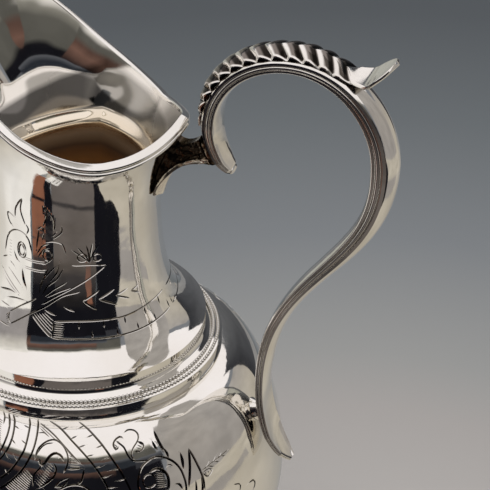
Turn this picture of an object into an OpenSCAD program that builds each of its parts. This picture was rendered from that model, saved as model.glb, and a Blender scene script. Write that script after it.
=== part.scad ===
// Cream jug in polished silver: globe body on a round foot, beaded collars,
// flared neck with a pouring spout, and a scroll handle with a thumb leaf.
// Millimetres. The origin is on the jug's axis at table level, +Z up,
// the handle on +X and the spout on -X.

/* [Foot] */
// Outside diameter of the foot ring
foot_d = 53; // [46:1:62]
// Height of the foot ring
foot_ring_h = 2.4; // [1.8:0.2:3.6]
// Radial width of the foot ring
foot_ring_w = 3; // [2.4:0.2:4]
// Height from the table to the top of the foot
foot_h = 12.6; // [10:0.2:17]
// Diameter at the top of the foot
foot_top_d = 20; // [16:1:26]
// Height of the collet between the foot and the globe
collet_h = 2.8; // [2:0.2:5]
// Diameter of the collet at its waist
collet_waist_d = 17; // [12:1:18]

/* [Globe] */
// Largest outside diameter of the globe
globe_d = 78; // [70:1:88]
// Height of the globe from its base to the shoulder seam
globe_h = 55; // [48:1:64]
// Height of the widest point above the globe's base
belly_h = 29.6; // [26:0.2:34]
// Diameter of the flat base under the globe
globe_base_d = 24; // [22:1:30]
// Outside diameter at the shoulder seam
seam_d = 54; // [50:1:58]
// Thickness of the silver sheet
sheet_t = 1; // [0.8:0.1:1.3]

/* [Collars] */
// Height of the lower collar
lower_collar_h = 4.8; // [4.4:0.1:6]
// Height of the upright face at the bottom of the lower collar
lower_face_h = 1.7; // [1.2:0.1:2.2]
// How far the lower collar stands out from the seam
lower_collar_out = 0.3; // [0:0.1:1]
// Radial width of the beaded shoulder on the lower collar
land_w = 2.1; // [1.8:0.1:2.5]
// Rise of that shoulder
land_h = 1.4; // [1.2:0.1:1.8]
// Height of the upper collar
upper_collar_h = 1.4; // [1:0.1:3]
// How far the upper collar stands out from the neck's lip
upper_collar_out = 0.2; // [0:0.1:0.6]
// Diameter of each bead wire
bead_d = 0.8; // [0.6:0.1:1]
// Distance between the two bead wires along the shoulder
bead_pitch = 1; // [1:0.05:1.2]

/* [Neck] */
// Outside diameter of the lip at the bottom of the neck
lip_d = 48.6; // [46:0.2:50]
// Thickness of that lip
lip_t = 0.6; // [0.4:0.1:1]
// Outside diameter at the narrowest point
neck_d = 32.4; // [28:0.2:35]
// Height of the narrowest point above the lip
waist_h = 25.4; // [21:0.2:29]

/* [Rim] */
// Radius of the rim's outer edge at the handle
rim_back_r = 23.4; // [21.5:0.1:26]
// Radius of the rim where it dips beside the handle
rim_dip_r = 20; // [19:0.1:22]
// Radius of the rim at the sides
rim_side_r = 20.9; // [19:0.1:24]
// Radius of the rim where it turns into the spout
rim_turn_r = 25; // [22:0.1:29]
// Radius of the rim at the tip of the spout
spout_r = 36; // [31:0.5:42]
// Height of the rim at the handle, above the lip
rim_back_h = 47; // [44:0.2:52]
// Height of the dip
rim_dip_h = 42.7; // [40:0.2:46]
// Height of the rim at the sides
rim_side_h = 47.6; // [44:0.2:53]
// Height of the rim where it turns into the spout
rim_turn_h = 60.4; // [54:0.2:66]
// Height of the tip of the spout
spout_h = 67.4; // [61:0.2:75]
// Width of the flat rim band
band_w = 1.8; // [1.6:0.1:2.4]
// Thickness of the rim band
band_t = 0.8; // [0.6:0.1:1.2]
// Outward slope of the rim band in degrees
band_slope = 28; // [15:1:35]
// Diameter of the reed wire under the band
reed_d = 0.8; // [0.6:0.1:1]

/* [Handle] */
// Distance from the rim's peak to the handle's centre line
hook_gap = 4.5; // [4.2:0.1:6]
// Reach of the handle past its hook
loop_w = 32.6; // [27:0.2:40]
// Rise of the handle above its hook
loop_rise = 15.8; // [12:0.2:20]
// Width of the handle across its sides
handle_w = 6.6; // [5:0.2:8]
// Thickness at the outside of the loop
loop_t = 5.2; // [4:0.1:6]
// Thickness at the hook and over the top
hook_t = 3.6; // [3:0.1:4.4]
// Thickness half way down the sweep below the loop
sweep_t = 3.3; // [2.8:0.1:4.2]
// Thickness where the handle comes down to the globe
low_t = 2.6; // [2:0.1:3.2]
// Depth of the pad below the shoulder seam
pad_drop = 8.2; // [6:0.2:10]
// Thickness of the pad between the globe and the handle
pad_t = 1; // [0.8:0.1:2.5]
// Height of the pad
pad_h = 4.4; // [3:0.2:6]
// Width of the pad
pad_w = 3.6; // [2.6:0.2:5]
// Reach of the hook's point past the hook
tip_reach = 4.7; // [4:0.1:6]
// Depth of the hook's point below the hook
tip_drop = 7.8; // [7:0.2:9]
// Length of the free end below the pad
end_drop = 8.4; // [7:0.2:10]
// Distance of that end from the globe
end_reach = 4.7; // [3.5:0.1:7]

/* [Leaf and bracket] */
// Thickness of the thumb leaf over the handle
leaf_t = 1.3; // [1:0.1:2]
// Width of the thumb leaf
leaf_w = 6; // [4:0.2:6.4]
// Number of lobes along the leaf
leaf_lobes = 13; // [9:1:16]
// Depth of the notches between the lobes
lobe_depth = 0.5; // [0.2:0.1:0.7]
// Length of the leaf's free tip
leaf_tip_l = 8.6; // [7:0.2:11]
// Width of the bracket at its ends
bracket_w = 5.2; // [3.5:0.1:6]
// Width of the bracket at its waist
bracket_waist_w = 3.6; // [2.5:0.1:5]
// Height of the bracket along the neck
bracket_h = 12.8; // [11:0.2:15]
// Depth of the bracket's top below the hook
bracket_below = 3.6; // [3.4:0.1:4.4]

/* [Hidden] */
$fn = 96;
// Clearance of a soldered seat on a curved face
seat = 0.05;
// Width of the seat between the neck's lip and the collars
lip_seat_w = 1.8;
// How far the top of the lower collar and of the collet stand back from what they carry
collar_step = 0.4;
collet_step = 1;
silver = "#d9d7d2";

// Levels of the stack above the table
z_globe = foot_h + collet_h;
z_seam = z_globe + globe_h;
z_collar = z_seam + lower_collar_h;
z_lip = z_collar + upper_collar_h;
z_waist = z_lip + waist_h;
lip_r = lip_d / 2;
neck_r = neck_d / 2;
globe_r = globe_d / 2;
seam_r = seam_d / 2;
face_r = seam_r + lower_collar_out;

// Cubic curve between two points, and its list of points
function bezier(p, u) = pow(1 - u, 3) * p[0] + 3 * u * pow(1 - u, 2) * p[1]
  + 3 * u * u * (1 - u) * p[2] + pow(u, 3) * p[3];
function curve(p, n, from = 0) = [for (i = [from:n]) bezier(p, i / n)];
function unit(v) = v / norm(v);
// Direction along a list of points, and the same turned to the left
function along(pts, i) = unit(pts[min(i + 1, len(pts) - 1)] - pts[max(i - 1, 0)]);
function left(v) = [-v[1], v[0]];
// The list moved sideways, to the left where d is above zero
function aside(pts, d) = [for (i = [0:len(pts) - 1]) pts[i] + d * left(along(pts, i))];
function backwards(list) = [for (i = [len(list) - 1:-1:0]) list[i]];

// Profile of the globe's outside, from its base up to the seam
belly_full = 0.55 * belly_h;
shoulder_flat = 7.4;
shoulder_drop = 11.5;
globe_under = curve([[globe_base_d / 2, z_globe], [globe_base_d / 2 + belly_full, z_globe],
  [globe_r, z_globe + belly_h - belly_full], [globe_r, z_globe + belly_h]], 16);
globe_shoulder = curve([[globe_r, z_globe + belly_h], [globe_r, z_globe + belly_h + shoulder_drop],
  [seam_r + shoulder_flat, z_seam], [seam_r, z_seam]], 16, 1);
globe_outside = concat(globe_under, globe_shoulder);
// Radius of the globe's shoulder at a height
function globe_r_at(z) = lookup(z, [for (p = globe_shoulder) [p[1], p[0]]]);

// Shoulder line of the lower collar, on which the bead wires sit
bead_r = bead_d / 2;
bead_sink = 0.25;
collar_seat_r = lip_r - collar_step;
collar_inner_r = lip_r - lip_seat_w;
shoulder_foot = [face_r, z_seam + lower_face_h];
shoulder_top = shoulder_foot + [-land_w, land_h];
cove = [collar_seat_r, z_collar] - shoulder_top;
shoulder_line = curve([shoulder_foot, shoulder_foot + [-0.1 * land_w, 0.43 * land_h],
  shoulder_top + [0.43 * land_w, -0.36 * land_h], shoulder_top], 6);
cove_line = curve([shoulder_top, shoulder_top + [0.46 * cove[0], 0.24 * cove[1]],
  shoulder_top + [cove[0], 0.3 * cove[1]], shoulder_top + cove], 6, 1);
function bead_at(k) = let (d = unit(shoulder_line[6] - shoulder_line[2]))
  (shoulder_line[3] + shoulder_line[5]) / 2 + (k - 0.5) * bead_pitch * d - bead_sink * bead_r * left(d);

// Radius and height of the rim's outer edge at an angle from the handle
rim_radii = [rim_back_r, rim_dip_r, rim_side_r, rim_turn_r, spout_r];
rim_heights = [rim_back_h, rim_dip_h, rim_side_h, rim_turn_h, spout_h];
knot = 45;
// How sharply radius and height rise to the peak at the handle
peak_r_power = 1.2;
peak_h_power = 1.8;
function hermite(a, b, ma, mb, t) = a + (b - a) * t * t * (3 - 2 * t)
  + knot * (ma * t * pow(1 - t, 2) - mb * t * t * (1 - t));
function slope(v, k) = k == 1 || k == 4 ? 0 : (v[k + 1] - v[k - 1]) / (2 * knot);
function rim_value(v, power, a) = a < knot ? v[1] + (v[0] - v[1]) * pow(1 - a / knot, power)
  : let (k = min(3, floor(a / knot)))
    hermite(v[k], v[k + 1], slope(v, k), slope(v, k + 1), a / knot - k);
function rim_edge(a) = [rim_value(rim_radii, peak_r_power, abs(a)),
  z_lip + rim_value(rim_heights, peak_h_power, abs(a))];

// Directions across the rim band and square to it, and the neck's top corner
band_out = [cos(band_slope), -sin(band_slope)];
band_up = [sin(band_slope), cos(band_slope)];
band_lap = (band_w - sheet_t) / 2;
function neck_top(a) = rim_edge(a) - band_lap * band_out - band_t * band_up;

// Outside of the neck at an angle from the handle, from the lip up to the rim
flare_reach = [-6.3, 2.3];
flare_pull = 0.55;
rise_pull = 0.45;
rim_pull = 0.4;
lip_edge = [lip_r, z_lip + lip_t];
waist = [neck_r, z_waist];
flare = curve([lip_edge, lip_edge + flare_reach, waist - [0, flare_pull * waist_h], waist], 8);
function upper_neck(a) = let (top = neck_top(a), h = top[1] - z_waist)
  curve([waist, waist + [0, rise_pull * h], top - rim_pull * h * band_up, top], 9, 1);
function neck_outside(a) = concat(flare, upper_neck(a));
function neck_section(a) = let (out = neck_outside(a), in = aside(out, sheet_t), n = len(out) - 1)
  concat([[lip_r, z_lip]], out, [out[n] - sheet_t * band_out],
    [for (i = [n - 1:-1:1]) in[i]], [[lip_r - lip_seat_w, z_lip]]);

// A section in radius and height, placed at an angle from the handle
function at_angle(section, a) = [for (p = section) [p[0] * cos(a), p[0] * sin(a), p[1]]];
rim_step = 5;
rim_angles = [for (a = [-180:rim_step:180 - rim_step]) a];

// Shares of the handle's thickness: half its flat side, the crown outside, the crown inside
side_share = 0.26;
crown_share = 0.3;
belly_share = 0.18;
// Centre line of the handle in the XZ plane, through its extreme points
outer_drop = 2.1;
outer_pull = 0.435;
low_pull = 0.525;
low_in = 0.4;
low_rise = 6.2;
tip_t = 1.4;
end_t = 0.9;
hook = [rim_back_r + hook_gap, z_lip + rim_back_h];
crest = hook + [loop_w / 2, loop_rise];
outer = hook + [loop_w, -outer_drop];
pad_z = z_seam - pad_drop;
low = [globe_r_at(pad_z) + pad_t + (side_share + belly_share) * low_t - low_in, pad_z + low_rise];
end_z = pad_z - end_drop;
tail = [globe_r_at(end_z) + end_reach, end_z];
tip = hook + [tip_reach, -tip_drop];
quarter = 0.55;
steps = 12;
sweep_steps = 20;
tail_steps = 10;
i_hook = 6;
i_crest = i_hook + steps;
i_outer = i_crest + steps;
i_low = i_outer + sweep_steps;
hook_run = curve([tip, tip + [-0.49 * tip_reach, 0.15 * tip_drop], hook - [0, 0.44 * tip_drop], hook],
  i_hook);
crest_pull = [quarter * loop_w / 2, 0];
rise_run = curve([hook, hook + [0, quarter * loop_rise], crest - crest_pull, crest], steps, 1);
fall_run = curve([crest, crest + crest_pull, outer + [0, quarter * (crest[1] - outer[1])], outer], steps, 1);
drop = outer[1] - low[1];
sweep_run = curve([outer, outer - [0, outer_pull * drop], low + [0, low_pull * drop], low], sweep_steps, 1);
tail_run = curve([low, low - [0, low_rise], tail + [-0.5 * end_reach, 0.24 * end_drop], tail],
  tail_steps, 1);
handle_line = concat(hook_run, rise_run, fall_run, sweep_run, tail_run);
handle_n = len(handle_line) - 1;
// Thickness and width along the handle, by the number of the point
function handle_t(i) = lookup(i, [[0, tip_t], [i_hook / 2, 0.8 * hook_t], [i_hook, hook_t],
  [i_crest, hook_t], [i_outer, loop_t], [i_outer + sweep_steps / 2, sweep_t], [i_low, low_t],
  [handle_n - 3, 0.8 * low_t], [handle_n, end_t]]);
function handle_half(i) = handle_w / 2 * lookup(i, [[0, 0.45], [2, 0.8], [i_hook, 1], [i_outer, 1],
  [i_low, 0.85], [handle_n - 5, 0.95], [handle_n - 2, 0.7], [handle_n, 0.3]]);
function outer_crown(i) = (side_share + crown_share) * handle_t(i);
function inner_crown(i) = (side_share + belly_share) * handle_t(i);
crown_steps = 8;
function handle_section(i) = let (t = handle_t(i), w = handle_half(i))
  concat([for (k = [0:crown_steps]) let (b = 180 * k / crown_steps)
      [(side_share + crown_share * sin(b)) * t, -w * cos(b)]],
    [for (k = [0:crown_steps]) let (b = 180 * k / crown_steps)
      [-(side_share + belly_share * sin(b)) * t, w * cos(b)]]);
// A section of sideways and Y values, placed on a line in the XZ plane
function on_line(section, p, n) = [for (s = section) [p[0] + s[0] * n[0], s[1], p[1] + s[0] * n[1]]];
function handle_out(i) = left(along(handle_line, i));

// Thumb leaf: lies on the handle's outer crown, then leaves it in a free tip
leaf_from = i_hook;
leaf_to = i_crest + 5;
leaf_fine = 4;
leaf_across = 4;
leaf_edge = 0.25;
tip_steps = 8;
tip_swell = 2;
swell_run = 16;
function mix(a, b, t) = a + (b - a) * t;
leaf_seat = [for (i = [leaf_from:leaf_to]) handle_line[i] + (outer_crown(i) + seat) * handle_out(i)];
tip_root = leaf_seat[len(leaf_seat) - 1];
tip_way = along(handle_line, leaf_to);
tip_run = curve([tip_root, tip_root + 0.2 * leaf_tip_l * tip_way, tip_root + leaf_tip_l * [0.51, 0.05],
  tip_root + leaf_tip_l * [0.76, 0.65]], tip_steps, 1);
leaf_seat_n = (len(leaf_seat) - 1) * leaf_fine;
leaf_line = concat([for (j = [0:leaf_seat_n - 1]) let (i = floor(j / leaf_fine))
    mix(leaf_seat[i], leaf_seat[i + 1], j / leaf_fine - i)], [tip_root], tip_run);
leaf_n = len(leaf_line) - 1;
function leaf_height(j) = let (lobe = abs(sin(180 * leaf_lobes * j / leaf_seat_n)))
  j <= leaf_seat_n ? leaf_t * lookup(j, [[0, 0.5], [swell_run, 1], [leaf_seat_n - swell_run, 1.1],
      [leaf_seat_n, tip_swell]]) - lobe_depth * (1 - sqrt(lobe)) * min(1, j / swell_run)
  : leaf_t * tip_swell * lookup(j - leaf_seat_n, [[0, 1], [3, 1.15], [tip_steps, 0.15]]);
function leaf_half(j) = leaf_w / 2
  * lookup(j, [[0, 0.5], [swell_run, 1], [leaf_seat_n, 1], [leaf_n, 0.25]]);
function leaf_sag(j) = let (i = min(leaf_to, leaf_from + j / leaf_fine))
  crown_share * handle_t(i) * (j <= leaf_seat_n ? 1 : lookup(j, [[leaf_seat_n, 1], [leaf_n, 0]]));
function crown_drop(j, y) = let (hw = handle_half(leaf_from + j / leaf_fine))
  leaf_sag(j) * (1 - sqrt(1 - pow(min(0.98, abs(y / hw)), 2)));
function leaf_section(j) = let (w = leaf_half(j))
  concat([for (k = [-leaf_across:leaf_across]) let (s = k / leaf_across)
      [leaf_height(j) * (1 - (1 - leaf_edge) * s * s) - crown_drop(j, w * s), w * s]],
    [for (k = [leaf_across:-1:-leaf_across]) let (y = w * k / leaf_across) [-crown_drop(j, y), y]]);

// Bracket outline in the XZ plane, between the neck and the hook
bracket_foot_w = 1.6;
arch_end = [1, 0];
arch_span = [4.5, -0.6];
arch_rise = [3.2, 7];
bracket_top = hook[1] - bracket_below;
back_neck_z = [for (k = [0:8]) bracket_top - bracket_h * (1 - k / 8)];
function back_neck_r(z) = lookup(z, [for (p = neck_outside(0)) [p[1], p[0]]]);
back_neck = [for (z = back_neck_z) [back_neck_r(z) + seat, z]];
hook_face = [for (i = [2:i_hook - 1]) handle_line[i] + (outer_crown(i) + seat) * handle_out(i)];
arch = curve([hook_face[0] - arch_end, hook_face[0] - arch_span, back_neck[0] + arch_rise,
  back_neck[0] + [bracket_foot_w, 0]], 8);
bracket_outline = concat(backwards(back_neck), backwards(arch), hook_face);

// Joins successive rings of points into a closed solid
module loft(rings, closed) {
  n = len(rings);
  m = len(rings[0]);
  sides = [for (j = [0:n - (closed ? 1 : 2)], i = [0:m - 1])
    let (a = j * m + i, b = j * m + (i + 1) % m, c = (j + 1) % n * m + (i + 1) % m, d = (j + 1) % n * m + i)
    each [[a, b, c], [a, c, d]]];
  caps = closed ? [] : [[for (i = [m - 1:-1:0]) i], [for (i = [0:m - 1]) (n - 1) * m + i]];
  polyhedron([for (r = rings) each r], concat(sides, caps));
}

module foot_ring() {
  r = foot_d / 2;
  edge = foot_ring_h / 2;
  color(silver) rotate_extrude() {
    translate([r - foot_ring_w, 0]) square([foot_ring_w - edge, foot_ring_h]);
    intersection() {
      translate([r - edge, edge]) circle(edge);
      translate([r - edge, 0]) square([edge, foot_ring_h]);
    }
  }
}

module foot() {
  seat_r = foot_d / 2 - foot_ring_h / 2;
  top_r = foot_top_d / 2;
  foot_seat_w = 1.3 * sheet_t;
  rise = foot_h - foot_ring_h;
  spread = 0.15 * rise;
  outside = curve([[seat_r, foot_ring_h], [seat_r - spread, foot_ring_h + 0.45 * rise],
    [top_r, foot_ring_h + 0.2 * rise], [top_r, foot_h]], 14);
  inside = aside(outside, sheet_t);
  n = len(outside) - 1;
  color(silver) rotate_extrude() polygon(concat(outside,
    [[top_r / 2, foot_h], [top_r / 2, foot_h - sheet_t]],
    [for (i = [n - 2:-1:1]) inside[i]], [[seat_r - foot_seat_w, foot_ring_h]]));
}

module collet() {
  top_r = globe_base_d / 2 - collet_step;
  waist_r = collet_waist_d / 2;
  bottom_r = foot_top_d / 2;
  side = curve([[bottom_r, foot_h], [waist_r, foot_h + 0.3 * collet_h],
    [waist_r, foot_h + 0.6 * collet_h], [top_r, z_globe]], 8);
  color(silver) rotate_extrude() polygon(concat([[0, foot_h]], side, [[0, z_globe]]));
}

module globe() {
  inside = aside(globe_outside, sheet_t);
  n = len(globe_outside) - 1;
  color(silver) rotate_extrude() polygon(concat([[0, z_globe]], globe_outside, [[seam_r - sheet_t, z_seam]],
    [for (i = [n - 1:-1:1]) inside[i]], [[0, z_globe + sheet_t]]));
}

module bead_ring(k, grow = 0) {
  p = bead_at(k);
  rotate_extrude() translate(p) circle(bead_r + grow);
}

module lower_collar() {
  color(silver) difference() {
    rotate_extrude() polygon(concat([[face_r, z_seam]], shoulder_line, cove_line,
      [[collar_inner_r, z_collar], [collar_inner_r, z_collar - sheet_t], [seam_r - sheet_t, z_seam]]));
    bead_ring(0, seat);
    bead_ring(1, seat);
  }
}

module lower_bead_wire() { color(silver) bead_ring(0); }
module upper_bead_wire() { color(silver) bead_ring(1); }

module upper_collar() {
  r = lip_r + upper_collar_out;
  edge = upper_collar_h / 2;
  color(silver) rotate_extrude() {
    translate([collar_inner_r, z_collar]) square([lip_seat_w + upper_collar_out - edge, upper_collar_h]);
    intersection() {
      translate([r - edge, z_collar + edge]) circle(edge);
      translate([r - edge, z_collar]) square([edge, upper_collar_h]);
    }
  }
}

module neck() { color(silver) loft([for (a = rim_angles) at_angle(neck_section(a), a)], true); }

module rim_band() {
  round_in = 0.15 * band_w * band_out;
  round_down = 0.3 * band_t * band_up;
  function section(a) = let (o = rim_edge(a), i = o - band_w * band_out, down = band_t * band_up)
    [o - down, o - round_down, o - round_in, i + round_in, i - round_down, i - down];
  color(silver) loft([for (a = rim_angles) at_angle(section(a), a)], true);
}

module rim_reed() {
  r = reed_d / 2;
  function centre(a) = neck_top(a) + (r + seat) * (band_out - band_up);
  function section(a) = [for (k = [0:7]) centre(a) + r * [cos(45 * k), sin(45 * k)]];
  color(silver) loft([for (a = rim_angles) at_angle(section(a), a)], true);
}

module handle() {
  rings = [for (i = [0:handle_n]) on_line(handle_section(i), handle_line[i], handle_out(i))];
  color(silver) loft(rings, false);
}

module thumb_leaf() {
  rings = [for (j = [0:leaf_n]) on_line(leaf_section(j), leaf_line[j], left(along(leaf_line, j)))];
  color(silver) loft(rings, false);
}

module handle_bracket() {
  reach = [neck_r, hook[0] + loop_t];
  half = [for (k = [0:10])
    [mix(reach[0], reach[1], k / 10), mix(bracket_w, bracket_waist_w, sin(18 * k)) / 2]];
  color("#8f8a80") intersection() {
    rotate([90, 0, 0]) linear_extrude(bracket_w, center = true) polygon(bracket_outline);
    translate([0, 0, z_lip]) linear_extrude(spout_h)
      polygon(concat(half, [for (p = backwards(half)) [p[0], -p[1]]]));
  }
}

module handle_pad() {
  zs = [for (k = [0:6]) pad_z + pad_h * (k / 6 - 0.5)];
  inner_face = [for (i = [i_low - 2:handle_n - 2])
    handle_line[i] - (inner_crown(i) + seat) * handle_out(i)];
  function face_x(z) = lookup(z, [for (p = inner_face) [p[1], p[0]]]);
  color(silver) rotate([90, 0, 0]) linear_extrude(pad_w, center = true)
    polygon(concat([for (z = zs) [globe_r_at(z) + seat, z]], [for (z = backwards(zs)) [face_x(z), z]]));
}

foot_ring();
foot();
collet();
globe();
lower_collar();
lower_bead_wire();
upper_bead_wire();
upper_collar();
neck();
rim_band();
rim_reed();
handle();
thumb_leaf();
handle_bracket();
handle_pad();
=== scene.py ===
"""Looks of a silver cream jug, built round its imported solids.

Lengths are millimetres unless a name says otherwise, and meshes are made in metres.
The origin is on the jug's axis at table level, +Z up, the handle on +X and the spout on -X.
"""
import math

import bmesh
import bpy
import numpy as np
from mathutils import Matrix, Vector, kdtree, noise
from mathutils.geometry import delaunay_2d_cdt


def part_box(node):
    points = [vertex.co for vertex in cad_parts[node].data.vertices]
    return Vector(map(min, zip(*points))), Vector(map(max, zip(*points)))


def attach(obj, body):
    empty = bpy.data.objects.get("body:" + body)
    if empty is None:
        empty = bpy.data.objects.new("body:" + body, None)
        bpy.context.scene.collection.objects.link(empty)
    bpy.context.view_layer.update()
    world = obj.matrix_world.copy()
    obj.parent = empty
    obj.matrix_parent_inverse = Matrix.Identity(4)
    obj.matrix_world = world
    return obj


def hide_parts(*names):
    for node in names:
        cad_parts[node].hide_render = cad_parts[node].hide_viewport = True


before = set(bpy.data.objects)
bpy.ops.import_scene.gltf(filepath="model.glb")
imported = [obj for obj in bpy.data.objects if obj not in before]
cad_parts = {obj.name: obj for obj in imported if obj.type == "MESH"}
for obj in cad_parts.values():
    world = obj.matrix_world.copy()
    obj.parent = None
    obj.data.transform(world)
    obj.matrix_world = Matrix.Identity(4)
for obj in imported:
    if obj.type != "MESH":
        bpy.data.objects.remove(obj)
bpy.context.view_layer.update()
MM = 0.001
hair = 0.02


def low(node):
    return np.array(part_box(node)[0]) / MM


def high(node):
    return np.array(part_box(node)[1]) / MM


# Levels and radii that the solids give
foot_r, _, foot_ring_h = high("foot_ring")
foot_h = high("foot")[2]
foot_seat_r = high("foot")[0]
z_globe = low("globe")[2]
globe_r, _, z_seam = high("globe")
globe_r -= hair
face_r, _, z_collar = high("lower_collar")
z_lip = high("upper_collar")[2]
lip_r = high("neck")[1]
handle_half_w = high("handle")[1]
leaf_half_w = high("thumb_leaf")[1]
pad_low = low("handle_pad")
pad_high = high("handle_pad")
bracket_half_w = high("handle_bracket")[1]

# Sizes that the solids share with this file
sheet_t = 1.0
foot_ring_w = 3.0
foot_top_r = 10.0
collet_waist_r = 8.5
collet_top_r = 11.0
globe_base_r = 12.0
belly_h = 29.6
seam_r = 27.0
lower_face_h = 1.7
land_w = 2.1
land_h = 1.4
lip_seat_w = 1.8
collar_step = 0.4
bead_r = 0.4
lip_t = 0.6
neck_r = 16.2
waist_h = 25.4
rim_radii = [23.4, 20.0, 20.9, 25.0, 36.0]
rim_heights = [47.0, 42.7, 47.6, 60.4, 67.4]
band_w = 1.8
band_t = 0.8
band_slope = math.radians(28)
reed_r = 0.4
hook_gap = 4.5
loop_w = 32.6
loop_rise = 15.8
loop_t = 5.2
hook_t = 3.6
sweep_t = 3.3
low_t = 2.6
pad_t = 1.0
end_drop = 8.4
end_reach = 4.7
tip_reach = 4.7
tip_drop = 7.8
leaf_t = 1.3
leaf_tip_l = 8.6
bracket_h = 12.8
bracket_below = 3.6
seat = 0.05

z_waist = z_lip + waist_h
pad_z = (pad_low[2] + pad_high[2]) / 2


# Lines and meshes

def curve(a, b, c, d, u):
    """Points of a cubic curve at the shares u of its run."""
    u = u[:, None]
    return (1 - u) ** 3 * a + 3 * u * (1 - u) ** 2 * b + 3 * u * u * (1 - u) * c + u ** 3 * d


def bezier(points, n):
    """n + 1 points along a cubic curve."""
    return curve(*np.array(points, float), np.linspace(0, 1, n + 1))


def joined(*lines):
    """Lines one after another, without the repeated end points."""
    return np.vstack([lines[0]] + [line[1:] for line in lines[1:]])


def way_along(line):
    """Distance from the start of a line to each of its points."""
    return np.concatenate([[0], np.cumsum(np.linalg.norm(np.diff(line, axis=0), axis=1))])


def spaced(line, n):
    """A plane line as n points in even steps."""
    way = way_along(line)
    at = np.linspace(0, way[-1], n)
    return np.stack([np.interp(at, way, line[:, k]) for k in (0, 1)], 1)


def along(line):
    way = np.gradient(line, axis=0)
    return way / np.linalg.norm(way, axis=1)[:, None]


def left(way):
    return np.stack([-way[:, 1], way[:, 0]], 1)


def aside(line, distance):
    """A plane line moved to its left."""
    return line + np.reshape(distance, (-1, 1)) * left(along(line))


def smooth_step(x, start, end):
    t = np.clip((x - start) / (end - start), 0, 1)
    return t * t * (3 - 2 * t)


def grid_faces(rows, columns, close_rows=False, close_columns=False, first=0):
    faces = []
    for j in range(rows if close_rows else rows - 1):
        for i in range(columns if close_columns else columns - 1):
            a, b = j * columns + i, j * columns + (i + 1) % columns
            c, d = (j + 1) % rows * columns + (i + 1) % columns, (j + 1) % rows * columns + i
            faces.append([first + a, first + b, first + c, first + d])
    return faces


def merged(points, digits):
    """Which points stay when those that coincide merge, and where each of them goes."""
    _, first, index = np.unique(np.round(points, digits), axis=0, return_index=True, return_inverse=True)
    return first, index.ravel()


def merged_face(face, index):
    """A face's points after a merge, without repeats."""
    ring = [int(index[i]) for i in face]
    return [v for k, v in enumerate(ring) if v != ring[k - 1]]


def tree_of(points):
    """A search tree over points."""
    tree = kdtree.KDTree(len(points))
    for i, point in enumerate(points):
        tree.insert(point, i)
    tree.balance()
    return tree


def new_object(name, data):
    obj = bpy.data.objects.new(name, data)
    bpy.context.scene.collection.objects.link(obj)
    return obj


def dress(name, node, materials, mesh, sharp_deg=35):
    """Shades a mesh and makes it a piece that stands for a CAD node and rides on the jug."""
    mesh.shade_smooth()
    mesh.set_sharp_from_angle(angle=math.radians(sharp_deg))
    for material in materials:
        mesh.materials.append(material)
    piece = new_object(name, mesh)
    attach(piece, "root")
    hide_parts(node)
    return piece


def add_piece(name, node, slot, material, points, faces, sharp_deg=35):
    """Makes a closed piece: merges points that coincide, and turns its faces outward."""
    points = np.asarray(points, float)
    first, index = merged(points, 4)
    rings = [merged_face(face, index) for face in faces]
    mesh = bpy.data.meshes.new(name)
    mesh.from_pydata((points[first] * MM).tolist(), [], [ring for ring in rings if len(ring) > 2])
    work = bmesh.new()
    work.from_mesh(mesh)
    bmesh.ops.recalc_face_normals(work, faces=work.faces)
    work.to_mesh(mesh)
    work.free()
    return dress(name, node, [material], mesh, sharp_deg)


def mark_grime_and_shade(piece, points, depth):
    """Keeps a darkening value for each point: painted shade between beads and on the leaf, tarnish with
    painted shade in the bracket's panel.
    """
    tree = tree_of(points * MM)
    values = [depth[tree.find(vertex.co)[1]] for vertex in piece.data.vertices]
    grime_and_shade = piece.data.attributes.new("grime_and_shade_mask", "FLOAT", "POINT")
    grime_and_shade.data.foreach_set("value", np.array(values, np.float32))


def lathe(profile, segments=240):
    """Points and faces of a closed outline in radius and height, turned round the axis."""
    angles = np.linspace(0, 2 * math.pi, segments, endpoint=False)
    r, z = np.array(profile, float).T
    points = np.stack([np.outer(np.cos(angles), r), np.outer(np.sin(angles), r),
                       np.tile(z, (segments, 1))], 2).reshape(-1, 3)
    return points, grid_faces(segments, len(r), True, True)


def loft(rings, closed=False):
    """Points and faces through rings of points; an open loft gets flat ends."""
    rings = np.array(rings, float)
    n, m, _ = rings.shape
    faces = grid_faces(n, m, closed, True)
    if not closed:
        faces += [list(range(m))[::-1], [(n - 1) * m + i for i in range(m)]]
    return rings.reshape(-1, 3), faces


def place(section, origin, normal):
    """Puts a section of (sideways, y) values on a line in the XZ plane."""
    return np.stack([origin[0] + section[:, 0] * normal[0], section[:, 1],
                     origin[1] + section[:, 0] * normal[1]], 1)


def turned(section, angle):
    """A section of (radius, height) values swung round the axis."""
    return np.stack([section[:, 0] * np.cos(angle), section[:, 0] * np.sin(angle), section[:, 1]], 1)


def arc(centre, radius, start_deg, end_deg, n):
    """n + 1 points round a centre in a plane."""
    angles = np.radians(np.linspace(start_deg, end_deg, n + 1))
    return np.array(centre) + radius * np.stack([np.cos(angles), np.sin(angles)], 1)


# Materials

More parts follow.
